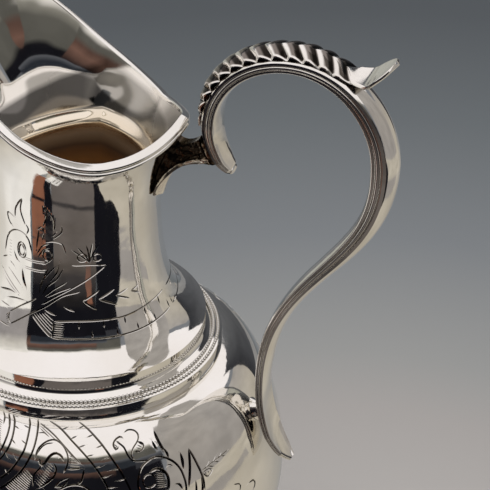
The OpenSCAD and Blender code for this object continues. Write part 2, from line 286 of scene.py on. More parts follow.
class Finish:
    """A node material, with short ways to add the nodes used here."""

    def __init__(self, name):
        self.material = bpy.data.materials.new(name)
        self.material.use_nodes = True
        self.tree = self.material.node_tree
        self.shader = self.tree.nodes["Principled BSDF"]

    def feed(self, node, inputs):
        """Fills a node's inputs: another node's output is linked, a plain value is set."""
        for name, value in inputs.items():
            if isinstance(value, bpy.types.NodeSocket):
                self.tree.links.new(value, node.inputs[name])
            else:
                node.inputs[name].default_value = value

    def add(self, kind, output, inputs, **settings):
        """Adds a node and gives its output of that name."""
        node = self.tree.nodes.new("ShaderNode" + kind)
        for name, value in settings.items():
            setattr(node, name, value)
        self.feed(node, inputs)
        return node.outputs[output]

    def coords(self):
        return self.add("TexCoord", "Object", {})

    def noise(self, scale, detail, stretch=None):
        vector = self.coords()
        if stretch:
            vector = self.add("Mapping", "Vector", {"Vector": vector, "Scale": stretch})
        return self.add("TexNoise", "Fac", {"Vector": vector, "Scale": scale, "Detail": detail})

    def ramp(self, factor, stops):
        colour = self.add("ValToRGB", "Color", {"Fac": factor})
        elements = colour.node.color_ramp.elements
        while len(elements) < len(stops):
            elements.new(0.5)
        for element, (position, tone) in zip(elements, stops):
            element.position = position
            element.color = (*tone, 1)
        return colour

    def span(self, value, low_in, high_in, low_out=0.0, high_out=1.0):
        return self.add("MapRange", "Result", {"Value": value, "From Min": low_in, "From Max": high_in,
                                               "To Min": low_out, "To Max": high_out})

    def blend(self, factor, start, end):
        return self.add("Mix", "Result", {"Factor": factor, "A": start, "B": end}, data_type="RGBA")

    def combine(self, operation, *values):
        return self.add("Math", "Value", dict(enumerate(values)), operation=operation)

    def metal(self, colour, roughness, waves, wave_scale, wave_detail):
        """Feeds the shader as a metal whose surface is slightly uneven; gives the material."""
        height = self.noise(wave_scale, wave_detail)
        normal = self.add("Bump", "Normal", {"Strength": waves, "Distance": 0.002, "Height": height})
        self.feed(self.shader, {"Metallic": 1.0, "Base Color": colour, "Roughness": roughness,
                                "Normal": normal})
        return self.material


def silver(name, light, dull, smooth, waves=0.04, grime_and_shade=(0.40, 0.36, 0.30), darkest_grime_and_shade=None):
    """Polished silver: faint tarnish clouds, a darkening attribute (tarnish in engraved cuts, painted shade
    on other pieces), wiping marks in the gloss.
    """
    finish = Finish(name)
    colour = finish.ramp(finish.noise(60.0, 5.0), [(0.35, dull), (0.62, light)])
    # This attribute darkens the colour: tarnish in engraved cuts, and painted shade where pieces mark it.
    depth = finish.add("Attribute", "Fac", {}, attribute_name="grime_and_shade_mask")
    colour = finish.blend(finish.span(depth, 0.0, 0.5), colour, (*grime_and_shade, 1))
    if darkest_grime_and_shade:
        colour = finish.blend(finish.span(depth, 0.5, 1.0), colour, (*darkest_grime_and_shade, 1))
    wiping = finish.noise(900.0, 4.0, (1.0, 1.0, 0.12))
    return finish.metal(colour, finish.span(wiping, 0.3, 0.8, smooth, smooth + 0.07), waves, 110.0, 2.5)


trim_tones = (0.93, 0.92, 0.89), (0.84, 0.82, 0.77)
body_silver = silver("polished_silver", (0.93, 0.915, 0.885), (0.86, 0.835, 0.78), 0.03, 0.06,
                     (0.30, 0.28, 0.245), (0.12, 0.11, 0.10))
trim_silver = silver("trim_silver", *trim_tones, 0.06)
# Its darker tone shows on the core wire as painted shade between the beads.
bead_silver = silver("bead_silver", *trim_tones, 0.08, grime_and_shade=(0.30, 0.285, 0.26))
handle_silver = silver("handle_silver", (0.91, 0.895, 0.86), (0.80, 0.77, 0.71), 0.07)
# The leaf's darker tones are painted shade across its lobes and under it, over the leaf's tarnish.
leaf_silver = silver("leaf_silver", (0.91, 0.89, 0.85), (0.78, 0.74, 0.68), 0.10,
                     grime_and_shade=(0.22, 0.195, 0.175), darkest_grime_and_shade=(0.022, 0.018, 0.015))
# The cast silver's darker tones mark the bracket's sunk panel: tarnish together with painted shade.
bracket_silver = silver("cast_silver", (0.90, 0.87, 0.80), (0.74, 0.67, 0.56), 0.16, 0.4,
                        (0.19, 0.145, 0.10), (0.08, 0.062, 0.043))
ledge_sag = 0.14


def inside_finish(name):
    """Inside of the jug: bright near the rim, toned brown and gold lower down, its left side darkened with
    painted shade; levels are metres.
    """
    finish = Finish(name)
    x = finish.add("SeparateXYZ", "X", {"Vector": finish.coords()})
    sideways = finish.combine("ABSOLUTE", x)
    drift = finish.combine("MULTIPLY_ADD", finish.noise(55.0, 3.0), 0.002, x.node.outputs["Z"])

    def tide(slope, start, end):
        """Runs from 0 to 1 between two levels that sink toward the sides."""
        return finish.span(finish.combine("MULTIPLY_ADD", sideways, slope, drift), start, end)

    height = tide(ledge_sag, 0.091, 0.121)
    tones = [(0.0, (0.52, 0.39, 0.26)), (0.34, (0.62, 0.42, 0.23)), (0.455, (0.80, 0.44, 0.17)),
             (0.52, (0.40, 0.22, 0.10)), (0.565, (0.21, 0.14, 0.09)), (0.605, (0.35, 0.255, 0.165)),
             (0.675, (0.55, 0.43, 0.30)), (0.705, (0.90, 0.81, 0.66)), (0.765, (0.90, 0.83, 0.71))]
    # The left side of the inside is painted darker than the right: painted shade over the tarnish.
    shaded_left_tarnish, right_tarnish = (0.17, 0.165, 0.16), (0.46, 0.45, 0.42)
    sides = [finish.ramp(height, tones + [(0.80, tarnish)]) for tarnish in (shaded_left_tarnish, right_tarnish)]
    toned = finish.blend(finish.span(x, -0.004, 0.001), *sides)
    colour = finish.blend(tide(0.38, 0.1222, 0.1236), toned, (0.93, 0.91, 0.87, 1))
    worn_low = finish.span(height, 0.63, 0.70, 0.5, 0.05)
    worn_right = finish.span(x, 0.001, 0.014, 0.0, 0.26)
    return finish.metal(colour, finish.combine("ADD", worn_low, worn_right), 0.05, 130.0, 1.0)


inside_silver = inside_finish("inside_silver")


# Foot, collet and collars

def make_foot():
    edge = foot_ring_h / 2
    inner_r = foot_r - foot_ring_w
    bevel = 0.25
    ring = joined([[inner_r, foot_ring_h], [inner_r, bevel], [inner_r + bevel, 0], [foot_r - edge, 0]],
                  arc((foot_r - edge, edge), edge, -90, 90, 24))
    rise = foot_h - foot_ring_h
    outside = bezier([[foot_seat_r, foot_ring_h], [foot_seat_r - 0.15 * rise, foot_ring_h + 0.45 * rise],
                      [foot_top_r, foot_ring_h + 0.2 * rise], [foot_top_r, foot_h]], 60)
    inside = aside(outside, sheet_t)[2:-8][::-1]
    spread = np.vstack([outside, [[foot_top_r / 2, foot_h], [foot_top_r / 2, foot_h - sheet_t]], inside,
                        [[foot_seat_r - 1.3 * sheet_t, foot_ring_h]]])
    rise = z_globe - foot_h
    side = bezier([[foot_top_r, foot_h], [collet_waist_r, foot_h + 0.3 * rise],
                   [collet_waist_r, foot_h + 0.6 * rise], [collet_top_r, z_globe]], 24)
    collet = np.vstack([[[0, foot_h]], side, [[0, z_globe]]])
    for name, node, outline in (("foot_ring_turned", "foot_ring", ring), ("foot_spread", "foot", spread),
                                ("foot_collet", "collet", collet)):
        add_piece(name, node, "body_silver", body_silver, *lathe(outline))


shoulder_foot = np.array([face_r, z_seam + lower_face_h])
shoulder_top = shoulder_foot + [-land_w, land_h]
cove = np.array([lip_r - collar_step, z_collar]) - shoulder_top
corner_h = 0.5 * land_h
corner_r = 0.12
corner_mid = shoulder_foot + [-corner_r, corner_h]
shoulder_line = joined(arc(corner_mid, corner_r, 0, 66, 8),
                       np.linspace(corner_mid + corner_r * np.array([0.4, 0.91]), shoulder_top, 12))
cove_line = bezier([shoulder_top, shoulder_top + [0.46 * cove[0], 0.24 * cove[1]],
                    shoulder_top + [cove[0], 0.3 * cove[1]], shoulder_top + cove], 18)


def make_collars():
    bevel = 0.2
    inner_r = lip_r - lip_seat_w
    lower = np.vstack([[[face_r - bevel, z_seam], [face_r, z_seam + bevel]], shoulder_line, cove_line[1:],
                       [[inner_r, z_collar], [inner_r, z_collar - sheet_t], [seam_r - sheet_t, z_seam]]])
    edge = 0.22
    upper = joined([[inner_r, z_lip], [inner_r, z_collar], [lip_r - edge, z_collar]],
                   arc((lip_r - edge, z_collar + edge), edge, -90, 0, 8),
                   [[lip_r, z_collar + edge], [lip_r, z_lip]])
    for node, outline in (("lower_collar", lower), ("upper_collar", upper)):
        add_piece(node + "_turned", node, "body_silver", body_silver, *lathe(outline, 288))


bead_lift = 0.23
fine_bead_r = 0.86 * bead_r
bead_pitch = 2.3 * fine_bead_r
core_r = 0.5 * fine_bead_r


def make_bead_rows():
    """Two rows of fine beads, each bead a small ball set on a thin core wire."""
    rows, columns = 7, 12
    lat = np.linspace(-math.pi / 2, math.pi / 2, rows)
    lon = np.linspace(0, 2 * math.pi, columns, endpoint=False)
    ball = fine_bead_r * np.stack([np.outer(np.cos(lat), np.cos(lon)), np.outer(np.cos(lat), np.sin(lon)),
                                   np.outer(np.sin(lat), np.ones(columns))], 2).reshape(-1, 3)
    for node, name in (("lower_bead_wire", "lower_beads"), ("upper_bead_wire", "upper_beads")):
        centre_r = high(node)[0] - bead_r
        centre_z = high(node)[2] - bead_r + bead_lift
        core, faces = lathe(arc((centre_r, centre_z), core_r, 0, 330, 11))
        # The core wire is fully darkened: painted shade in the gaps between the beads.
        points, depth = [core], [np.ones(len(core))]
        for angle in np.linspace(0, 2 * math.pi, round(2 * math.pi * centre_r / bead_pitch), endpoint=False):
            faces += grid_faces(rows, columns, False, True, sum(map(len, points)))
            points.append(ball + [centre_r * math.cos(angle), centre_r * math.sin(angle), centre_z])
            depth.append(np.zeros(len(ball)))
        points = np.vstack(points)
        beads = add_piece(name, node, "trim_silver", bead_silver, points, faces, 60)
        mark_grime_and_shade(beads, points, np.concatenate(depth))


# Globe

belly_full = 0.55 * belly_h
z_belly = z_globe + belly_h
shoulder_flat = 7.4
shoulder_drop = 11.5
belly_steps = 48
shoulder_steps = 60
belly_curve = np.array([[globe_base_r, z_globe], [globe_base_r + belly_full, z_globe],
                        [globe_r, z_belly - belly_full], [globe_r, z_belly]])
shoulder_curve = np.array([[globe_r, z_belly], [globe_r, z_belly + shoulder_drop],
                           [seam_r + shoulder_flat, z_seam], [seam_r, z_seam]])
globe_outside = joined(bezier(belly_curve, belly_steps), bezier(shoulder_curve, shoulder_steps))
way_down = way_along(globe_outside[::-1])


def globe_r_at(z):
    r, height = globe_outside[belly_steps:].T
    return np.interp(z, height, r)


# Neck and rim

def rim_value(values, power, angle_deg):
    """A rim value at an angle from the handle: a peak at the handle, then a smooth run to the spout."""
    v = np.array(values)
    a = np.abs(angle_deg)
    slopes = np.array([0, 0, (v[3] - v[1]) / 2, (v[4] - v[2]) / 2, 0])
    k = np.clip((a / 45).astype(int), 1, 3)
    t = a / 45 - k
    run = v[k] + (v[k + 1] - v[k]) * t * t * (3 - 2 * t)
    run += slopes[k] * t * (1 - t) ** 2 - slopes[k + 1] * t * t * (1 - t)
    peak = v[1] + (v[0] - v[1]) * np.clip(1 - a / 45, 0, 1) ** power
    return np.where(a < 45, peak, run)


band_out = np.array([math.cos(band_slope), -math.sin(band_slope)])
band_up = np.array([math.sin(band_slope), math.cos(band_slope)])
band_lap = (band_w - sheet_t) / 2
flare_steps = 40
upper_steps = 44
waist = np.array([neck_r, z_waist])
flare_foot = np.array([lip_r, z_lip + lip_t])
flare_curve = np.array([flare_foot, flare_foot + [-6.3, 2.3], waist - [0, 0.55 * waist_h], waist])
neck_angles = np.linspace(-180, 180, 289)[:-1]


def rim_edge(angle_deg):
    a = np.atleast_1d(np.asarray(angle_deg, float))
    return np.stack([rim_value(rim_radii, 1.2, a), z_lip + rim_value(rim_heights, 1.8, a)], 1)


def neck_upper(angle_deg, u):
    """Outside of the neck above its waist, at angles from the handle and shares u of the rise."""
    top = rim_edge(angle_deg) - band_lap * band_out - band_t * band_up
    rise = (top[:, 1] - z_waist)[:, None]
    return curve(waist, waist + 0.45 * rise * [0, 1], top - 0.4 * rise * band_up, top, u)


def neck_outside(angle_deg, steps=upper_steps):
    """Outside of the neck at one angle, from the lip up to the rim."""
    return joined(bezier(flare_curve, flare_steps), neck_upper(angle_deg, np.linspace(0, 1, steps + 1)))


# Engraving

cut_slope = 1.0
full_cut = 0.2
line_w = 0.34
hatch_w = 0.19
hatch_gap = 0.4
line_taper = 0.8
tip_share = 0.12


def smooth_line(points, spacing=0.45):
    """A smooth line through points, in even steps."""
    p = np.array(points, float)
    if len(p) > 2:
        ends = np.vstack([2 * p[0] - p[1], p, 2 * p[-1] - p[-2]])
        u = np.linspace(0, 1, 12, endpoint=False)[:, None]
        runs = []
        for a, b, c, d in zip(ends, ends[1:], ends[2:], ends[3:]):
            runs.append(0.5 * (2 * b + (c - a) * u + (2 * a - 5 * b + 4 * c - d) * u ** 2
                               + (3 * b - a - 3 * c + d) * u ** 3))
        p = np.vstack(runs + [p[-1:]])
    return spaced(p, max(3, round(way_along(p)[-1] / spacing) + 1))


def stroke(points, width=line_w, taper=line_taper):
    """One cut: a line and its half widths; taper is the length over which each end narrows."""
    line = smooth_line(points)
    way = way_along(line)
    to_end = np.minimum(way, way[-1] - way)
    return line, 0.5 * width * np.clip(tip_share + (1 - tip_share) * np.sqrt(to_end / taper), 0, 1)


def oval(centre, across, up):
    return stroke(centre + arc((0, 0), 1, 0, 360, 12) * [across, up])


def hatching(start, end, run_start, run_end):
    """Fine parallel cuts whose first points go from start to end, each as long as its own run."""
    start, end, run_start, run_end = np.array([start, end, run_start, run_end], float)
    cuts = []
    for share in np.linspace(0, 1, max(2, round(np.linalg.norm(end - start) / hatch_gap))):
        first = start + share * (end - start)
        cuts.append(stroke([first, first + run_start + share * (run_end - run_start)], hatch_w, 0.3))
    return cuts


def ticks(side_a, side_b, gap, reach):
    """Short cuts across a strap, from one edge and the other in turn."""
    a, b = smooth_line(side_a), smooth_line(side_b)
    length = way_along(a)[-1]
    cuts = []
    for k, at in enumerate(np.arange(0.5 * gap, length, gap) / length):
        pa, pb = a[round(at * (len(a) - 1))], b[round(at * (len(b) - 1))]
        if k % 2:
            pa, pb = pb, pa
        cuts.append(stroke([pa, pa + reach * (pb - pa)], 0.4, 1.0))
    return cuts


def drawn(rows, hatches, ovals):
    """Cuts of a drawing: rows give a width, the lines cut so and the taper of their ends if it is longer."""
    cuts = [stroke(line, width, *taper) for width, lines, *taper in rows for line in lines]
    cuts += [cut for hatch in hatches for cut in hatching(*hatch)]
    return cuts + [oval(*shape) for shape in ovals]


def neck_drawing():
    """Cuts of one side of the neck, in mm across from its middle line and mm up from the lip."""
    band_top = [(2.4, 14.8), (6, 15), (10, 14.8), (15, 14.4), (20, 14.6), (26, 14.9)]
    band_foot = [(2.1, 11.2), (6, 11.2), (12, 10.8), (18, 10.4), (26, 10.4)]
    ribbon = [
        [(-6.7, 14.4), (-4.2, 16.6), (-1.2, 18.6)], [(2.4, 14.8), (2.3, 13), (2.1, 11.2)],
        [(-6.1, 11.9), (-2.8, 15), (0.6, 17.4), (4, 19.7), (7.3, 20.5)], [(-9.6, 15.4), (-6.8, 15.3)],
        [(0, 17.8), (3, 19.7), (6.5, 21.4), (9.5, 22.8), (12.6, 24.3)], [(-9, 11.3), (-6.3, 11.2)],
        [(12.6, 24.4), (9.5, 24.8), (6, 24.9)], [(-6.7, 14.4), (-6.8, 13), (-6.1, 11.9)]]
    plumes = [
        [(-3.5, 37.4), (-4.1, 34), (-3.2, 31)], [(-5.6, 31.4), (-7.5, 31.7), (-7.3, 30.2), (-6, 29.2)],
        [(-3, 31.2), (-2.5, 30.2), (-3, 29)], [(-6.3, 25.5), (-5.6, 24.4), (-4.6, 23.9)],
        [(-7.4, 23.6), (-6, 22.8)], [(1, 38.4), (1.5, 35.5), (0.7, 32.2)],
        [(-0.5, 30.9), (0.4, 31.9), (0.8, 30.4)], [(-0.2, 31), (-0.5, 29), (-0.9, 27)],
        [(0.8, 30.4), (0.4, 28.6)], [(4.4, 33.2), (4.2, 31.2), (2.6, 29.2)], [(3.4, 31.4), (2.4, 29.8)],
        [(-0.9, 26.2), (0.3, 27.5), (1.6, 27.9)], [(-0.7, 25.7), (0.4, 26.9), (1.6, 27.3)],
        [(1, 28.1), (2.4, 28.6), (4.2, 28.2), (5, 26.6)], [(2.3, 26.6), (2.1, 25.7), (0.8, 24.9)]]
    bold_plumes = [
        [(-5.6, 31.7), (-5.2, 34), (-3.5, 37.4)], [(1, 38.4), (2.2, 36.5), (3, 34), (2.8, 31.6)],
        [(-8.9, 24.9), (-8, 27.2), (-6.2, 28.8), (-4, 29.1), (-2.6, 28), (-2, 26.2)],
        [(-9.8, 23.5), (-8.2, 24.2)]]
    blades = [
        [(-8, 22.4), (-6, 21.2), (-4.4, 20)], [(-10, 21.8), (-7, 19.9), (-4.6, 18.4)],
        [(-0.6, 19.6), (-0.1, 21.7), (1.3, 23.3), (3, 24.8)],
        [(0, 19.5), (1.1, 21.2), (3, 22.6), (4.3, 24.4)],
        [(0.5, 19.3), (2.4, 20.8), (5, 22.2)], [(-0.2, 20.8), (0.4, 22.6), (1.4, 24.3)],
        [(1, 19.2), (3.2, 20.4), (5.6, 21.2)], [(1.6, 22), (3, 23.6), (3.6, 25.2)]]
    stem_x, stem_y = 9.5, 25.1  # foot of the sprig
    sprig = [[(stem_x, stem_y), ((stem_x + x) / 2 + bend, (stem_y + y) / 2), (x, y)] for x, y, bend in (
        (6, 27.3, 0.2), (7.2, 27.6, 0.2), (8.9, 27.9, 0.15), (10.2, 28.1, -0.15), (11.5, 27.8, -0.3))]
    chevrons = [[(x, y), (x + run, y + rise)] for x, y, *arms in (
        (7.8, 18.8, (3.2, 1.6), (2.5, -1.9)), (10.8, 18.8, (3.2, 1.2), (3.5, -1.7)),
        (14.2, 18.8, (2.6, 0.6), (2.8, -1.3)), (17.4, 18.7, (2, 0.4), (2, -0.9))) for run, rise in arms]
    tie = [[(-4, y), (-1.7, y - 0.08), (0.7, y)] for y in (25.15, 24.85, 23.75, 23.45)]
    rows = [(line_w, ribbon + plumes), (0.36, [band_top, band_foot] + sprig + bold_plumes), (0.26, tie),
            (0.42, chevrons + [[(-1.9, 15.4), (2.1, 11.2)]]),
            (0.4, [[(0.7, 16.8), (2.6, 16)], [(4.2, 17.8), (6.1, 16.9)]]),
            (line_w, blades, 1.5), (0.6, [[(-4.3, 23.1), (-4, 21.4), (-3.3, 20)]], 1.5),
            (0.5, [[(-10.3, 17.7), (-7.6, 18.4), (-5.8, 18.4)]], 1.5),
            (0.4, [[(-7.8, 16.9), (-5.8, 17.5), (-3.4, 17.7)]], 1.5),
            (0.3, [[(-9.4, 20.6), (-7, 19.2), (-5.2, 18.4)]], 1.5)]
    hatches = [
        ((2.5, 14.4), (2.4, 11.6), (1.7, 0), (1.7, 0)), ((-1.4, 15.6), (0.6, 16.3), (3.5, -3.6), (1.7, -1.4)),
        ((-6.7, 14.2), (-6.2, 12.2), (-0.8, -1), (-0.8, -0.6)), ((0, 24.7), (0, 23.8), (1, 0.1), (1, 0.1)),
        ((-7.5, 26.8), (-7.9, 24.4), (0.7, 0.1), (0.9, 0.1))]
    ovals = [((8.1, 26), 1, 0.6), ((11, 25.8), 0.9, 0.55), ((-4.3, 26.1), 1, 1.2), ((-4.3, 26.1), 0.62, 0.85),
             ((1.3, 26.2), 0.95, 0.8)]
    return drawn(rows, hatches, ovals) + ticks(band_top[1:], band_foot[1:], 2.1, 0.42)


def globe_drawing():
    """Cuts of one side of the globe, in mm across from its middle line and mm down from the seam."""
    strap_a = [(-4, 0.3), (-2.6, 2.2), (-2, 4), (-2, 6), (-2.5, 8), (-4, 10.6), (-6, 13)]
    strap_b = [(-2.9, 0.3), (-1.5, 2), (-0.8, 4.5), (-1, 7), (-2.2, 9.5), (-4.4, 12.4)]
    strap_c = [(1.2, 0.3), (2.1, 2), (2.4, 4.5), (2.2, 7), (1.4, 9), (0, 11.4), (-2, 13.5), (-4.4, 15.6)]
    strap_d = [(3.3, 0.3), (3.9, 1.8), (4.2, 4), (4, 6.5), (3.2, 9), (1.8, 11.5), (0, 13.7), (-2.6, 16.2)]
    strap_e = [(6, 0.3), (8.9, 2.1), (11.4, 4.5), (13.8, 7.1), (15.8, 9.8), (17.4, 13), (18.4, 16.5),
               (18.8, 20)]
    strap_f = [(12.8, 0.3), (15, 2.5), (17.3, 5.5), (19, 8.5), (20.5, 11.6), (21.6, 14.8), (22.2, 18),
               (22.3, 20.5)]
    lines = [
        [(-5.5, 0.3), (-4.2, 1.6), (-3.6, 3.1)], [(4.1, 1.2), (7, 3), (9.4, 5), (13.2, 9)],
        [(6, 9.4), (4.6, 11.4), (4.6, 13.4)], [(8.4, 13.4), (9.4, 12.2), (11, 11.4)],
        [(8.4, 13.4), (10, 13), (11, 11.4)], [(9.4, 15.2), (11.6, 14), (14, 15.2)],
        [(22.2, 4), (23.1, 3.6), (24.3, 3.9), (24.9, 4.8), (24.6, 5.9), (23.2, 7.3), (22.7, 8.6),
         (23.2, 9.4)],
        [(24.2, 6.1), (25.3, 6.6), (25.3, 7.5), (24.5, 8), (23.2, 7.8)],
        [(35.5, 16), (36.4, 17.2), (37.8, 16.4)], [(35.5, 16), (36.8, 15.9), (37.8, 16.4)],
        [(41.6, 21.8), (43.2, 22.8), (42.8, 24.2)]]
    fine_lines = [[(4.4, 1.9), (6.8, 3.5), (9, 5.1)], [(4.4, 2.4), (6.6, 3.8)], [(10.4, 6.2), (12.9, 9.1)]]
    soft_lines = [[(4.3, 3.5), (5.6, 3.3), (6.9, 4.1)], [(4.7, 7.7), (5.4, 6.3), (6.4, 5.4), (7.8, 5.1)],
                  [(35.2, 15.6), (38, 15.1), (42.4, 14.6)]]
    scroll_back = [(4.5, 8.6), (4.9, 6.5), (6.3, 5), (8, 4.5), (9.5, 5.3), (10.6, 7), (10.7, 8.8), (10, 10.6)]
    scroll_eye = [(5.1, 8.7), (5.5, 8.4), (5.5, 9), (6, 9.3), (6.6, 8.7), (7.3, 7.6), (8.3, 7), (9.4, 7.4),
                  (10, 8.4)]
    bold_lines = [
        [(8, 8.8), (8.6, 9.8), (8.3, 11.2), (7.4, 12.3), (5.6, 13.8)],
        [(8.8, 14), (11.2, 12.9), (13.6, 13.2), (15.4, 15)], [(28.8, 12.2), (29.4, 11.9), (30, 12.4)],
        [(21.8, 5.1), (21.3, 4.6), (20.2, 5), (19.6, 5.9), (20, 6.9), (20.6, 6.4)],
        [(45.4, 24), (46.9, 24.3), (47.2, 25.4), (46.2, 26.6)]]
    flower_throat = [(20.3, 5.4), (21.5, 6.6), (22.1, 8.4), (23, 9.5), (26, 10.1)]
    second_back = [(23.4, 16.4), (23.1, 14), (24, 11.3), (25.6, 10.1), (27.3, 9.8), (29.2, 10.6),
                   (30.8, 12.3), (31.6, 14.6), (31.7, 17.6), (30.6, 20.6)]
    second_eye = [(25.4, 12.3), (27, 12), (28.3, 13), (28.7, 14.6), (28.2, 16.6), (26.4, 17.8)]
    slip = [[(28.3, 5), (28.5, 7), (29.1, 9.2)], [(27.3, 6.7), (27.5, 7.7), (27.9, 8.7)],
            [(29.2, 8.7), (29.5, 9.7), (29.6, 10.8)]]
    leaflets = [[(x, 15.4 - 0.12 * (x - 36)), (x + run, 15.4 - 0.12 * (x - 36) + rise)] for x, run, rise in (
        (36.2, 1.2, -0.9), (36.9, 1.4, 0.8), (37.6, 1.4, -0.9), (38.4, 1.4, 0.7), (39.2, 1.3, -0.7),
        (40.2, 1.2, 0.5))]
    rows = [(line_w, lines), (0.22, fine_lines), (0.26, soft_lines), (0.3, leaflets), (0.4, bold_lines),
            (0.36, [scroll_back, flower_throat]), (0.46, [second_back]), (0.55, [scroll_eye]),
            (0.42, [strap_a, strap_b, strap_c, strap_d, strap_e, strap_f,
                    [(10.7, 9.9), (13.4, 9.7)], [(13.7, 10), (13.1, 12.2), (12.1, 12.8)]]),
            (0.5, [[(29.7, 15.9), (30.6, 16.3), (31, 17.4)]]), (0.6, [second_eye]), (0.6, slip, 1.2),
            (0.7, [[(32.1, 10.5), (32.1, 12), (31.9, 13.8)]], 1.6),
            (0.6, [[(32.2, 17.6), (33.2, 14), (34, 10.4)], [(35.1, 16.4), (35, 18.4), (34.4, 20.4)]], 1.6),
            (0.5, [[(34, 10.4), (34.7, 13.4), (35.3, 16.6), (35.3, 19.4)],
                   [(33.8, 16.8), (33.6, 18.6), (33, 20.4)]], 1.6)]
    hatches = [
        ((-5.6, 2.2), (-2.6, 7.6), (1.6, 0.4), (0.5, 0.8)), ((6.9, 8.6), (5, 12.6), (1.2, 1), (1.2, 1)),
        ((2.9, 10.4), (-0.4, 14.4), (1.5, 1.4), (3.6, 2)), ((10.9, 6.8), (10.8, 9.2), (0.5, 0.5), (2.2, 0.2)),
        ((23.6, 7.6), (24.5, 6.3), (1, 0.4), (0.9, 0.8)), ((19.7, 5.8), (20.2, 5.2), (0.8, 0.8), (0.9, 0.6)),
        ((27.7, 6.9), (28.6, 9), (0.6, 0.5), (0.5, 0.5)), ((36, 16), (37.2, 16), (0.2, 0.8), (0.2, 0.6)),
        ((26.6, 12.6), (26.4, 15.6), (1.6, 0.8), (1.8, 0.2))]
    cuts = drawn(rows, hatches, [((25.2, 13.9), 1.2, 1.3)])
    return cuts + ticks(strap_b, strap_c, 1.3, 0.36) + ticks(strap_e[1:], strap_f, 1.2, 0.34)


def set_round(cuts, half_turn, upward, mirror):
    """Puts a drawing on both sides of the jug, and turned over beyond the mirror line where it fits."""
    flipped = [(line * [-1, 1] + [2 * mirror, 0], half) for line, half in cuts]
    flipped = [(line, half) for line, half in flipped
               if line[:, 0].min() > -0.49 * half_turn and line[:, 0].max() < mirror - 0.3]
    return [(np.stack([side * (half_turn / 2 - line[:, 0]), upward * line[:, 1]], 1), half)
            for line, half in cuts + flipped for side in (-1, 1)]


def surface_frame(point, s, t):
    """Places, outward normals and the true lengths of a unit step across and a unit step up."""
    step = 0.02
    across = (point(s + step, t) - point(s - step, t)) / (2 * step)
    upward = (point(s, t + step) - point(s, t - step)) / (2 * step)
    normal = np.cross(across, upward)
    normal /= np.linalg.norm(normal, axis=1)[:, None]
    return point(s, t), normal, np.linalg.norm(across, axis=1), np.linalg.norm(upward, axis=1)


def engraved_skin(point, s_grid, t_grid, cuts):
    """Triangles over a surface with V shaped cuts in it: points, faces, corner normals and cut depths."""
    coords = [(s, t) for t in t_grid for s in s_grid]
    edges, starts, ends, halves = [], [], [], []
    for line, half in cuts:
        place_at, _, a, b = surface_frame(point, line[:, 0], line[:, 1])
        way = np.gradient(line, axis=0)
        side = np.stack([-way[:, 1] * b / a, way[:, 0] * a / b], 1)
        side *= (half / np.hypot(side[:, 0] * a, side[:, 1] * b))[:, None]
        for chain in (line - side, line, line + side):
            edges += [(len(coords) + i, len(coords) + i + 1) for i in range(len(chain) - 1)]
            coords += [tuple(c) for c in chain]
        starts.append(place_at[:-1])
        ends.append(place_at[1:])
        halves.append(np.stack([half[:-1], half[1:]], 1))
    flat, _, faces, _, _, _ = delaunay_2d_cdt([Vector(c) for c in coords], edges, [], 0, 1e-5)
    flat = np.array([tuple(v) for v in flat], float)
    for axis, grid, other in ((1, t_grid, s_grid), (0, s_grid, t_grid)):
        for level in (grid[0], grid[-1]):
            edge = np.abs(flat[:, axis] - level) < 1e-4
            flat[edge, axis] = level
            nearest = np.abs(flat[edge, 1 - axis][:, None] - other[None]).argmin(1)
            flat[edge, 1 - axis] = other[nearest]
    points, normals, _, _ = surface_frame(point, flat[:, 0], flat[:, 1])
    starts, ends, halves = np.vstack(starts), np.vstack(ends), np.vstack(halves)
    middles = (starts + ends) / 2
    reach = 0.5 * np.linalg.norm(ends - starts, axis=1).max() + halves.max()
    tree = tree_of(middles)
    pairs = [(v, hit[1]) for v, place_at in enumerate(points) for hit in tree.find_range(place_at, reach)]
    depth = np.zeros(len(points))
    v, k = np.array(pairs).T
    span = ends[k] - starts[k]
    share = np.sum((points[v] - starts[k]) * span, 1) / np.maximum(np.sum(span * span, 1), 1e-9)
    share = np.clip(share, 0, 1)
    gap = np.linalg.norm(points[v] - starts[k] - share[:, None] * span, axis=1)
    half = halves[k, 0] + share * (halves[k, 1] - halves[k, 0])
    np.maximum.at(depth, v, cut_slope * np.clip(half - gap, 0, None))
    depth[depth < 0.004] = 0
    faces = np.array(faces)
    points = points - depth[:, None] * normals
    a, b, c = (points[faces[:, i]] for i in range(3))
    flat_normal = np.cross(b - a, c - a)
    flat_normal /= np.maximum(np.linalg.norm(flat_normal, axis=1), 1e-12)[:, None]
    cut = depth[faces].max(1) > 0
    corner_normals = np.where(cut[:, None, None], flat_normal[:, None, :], normals[faces])
    return points, faces, corner_normals, depth


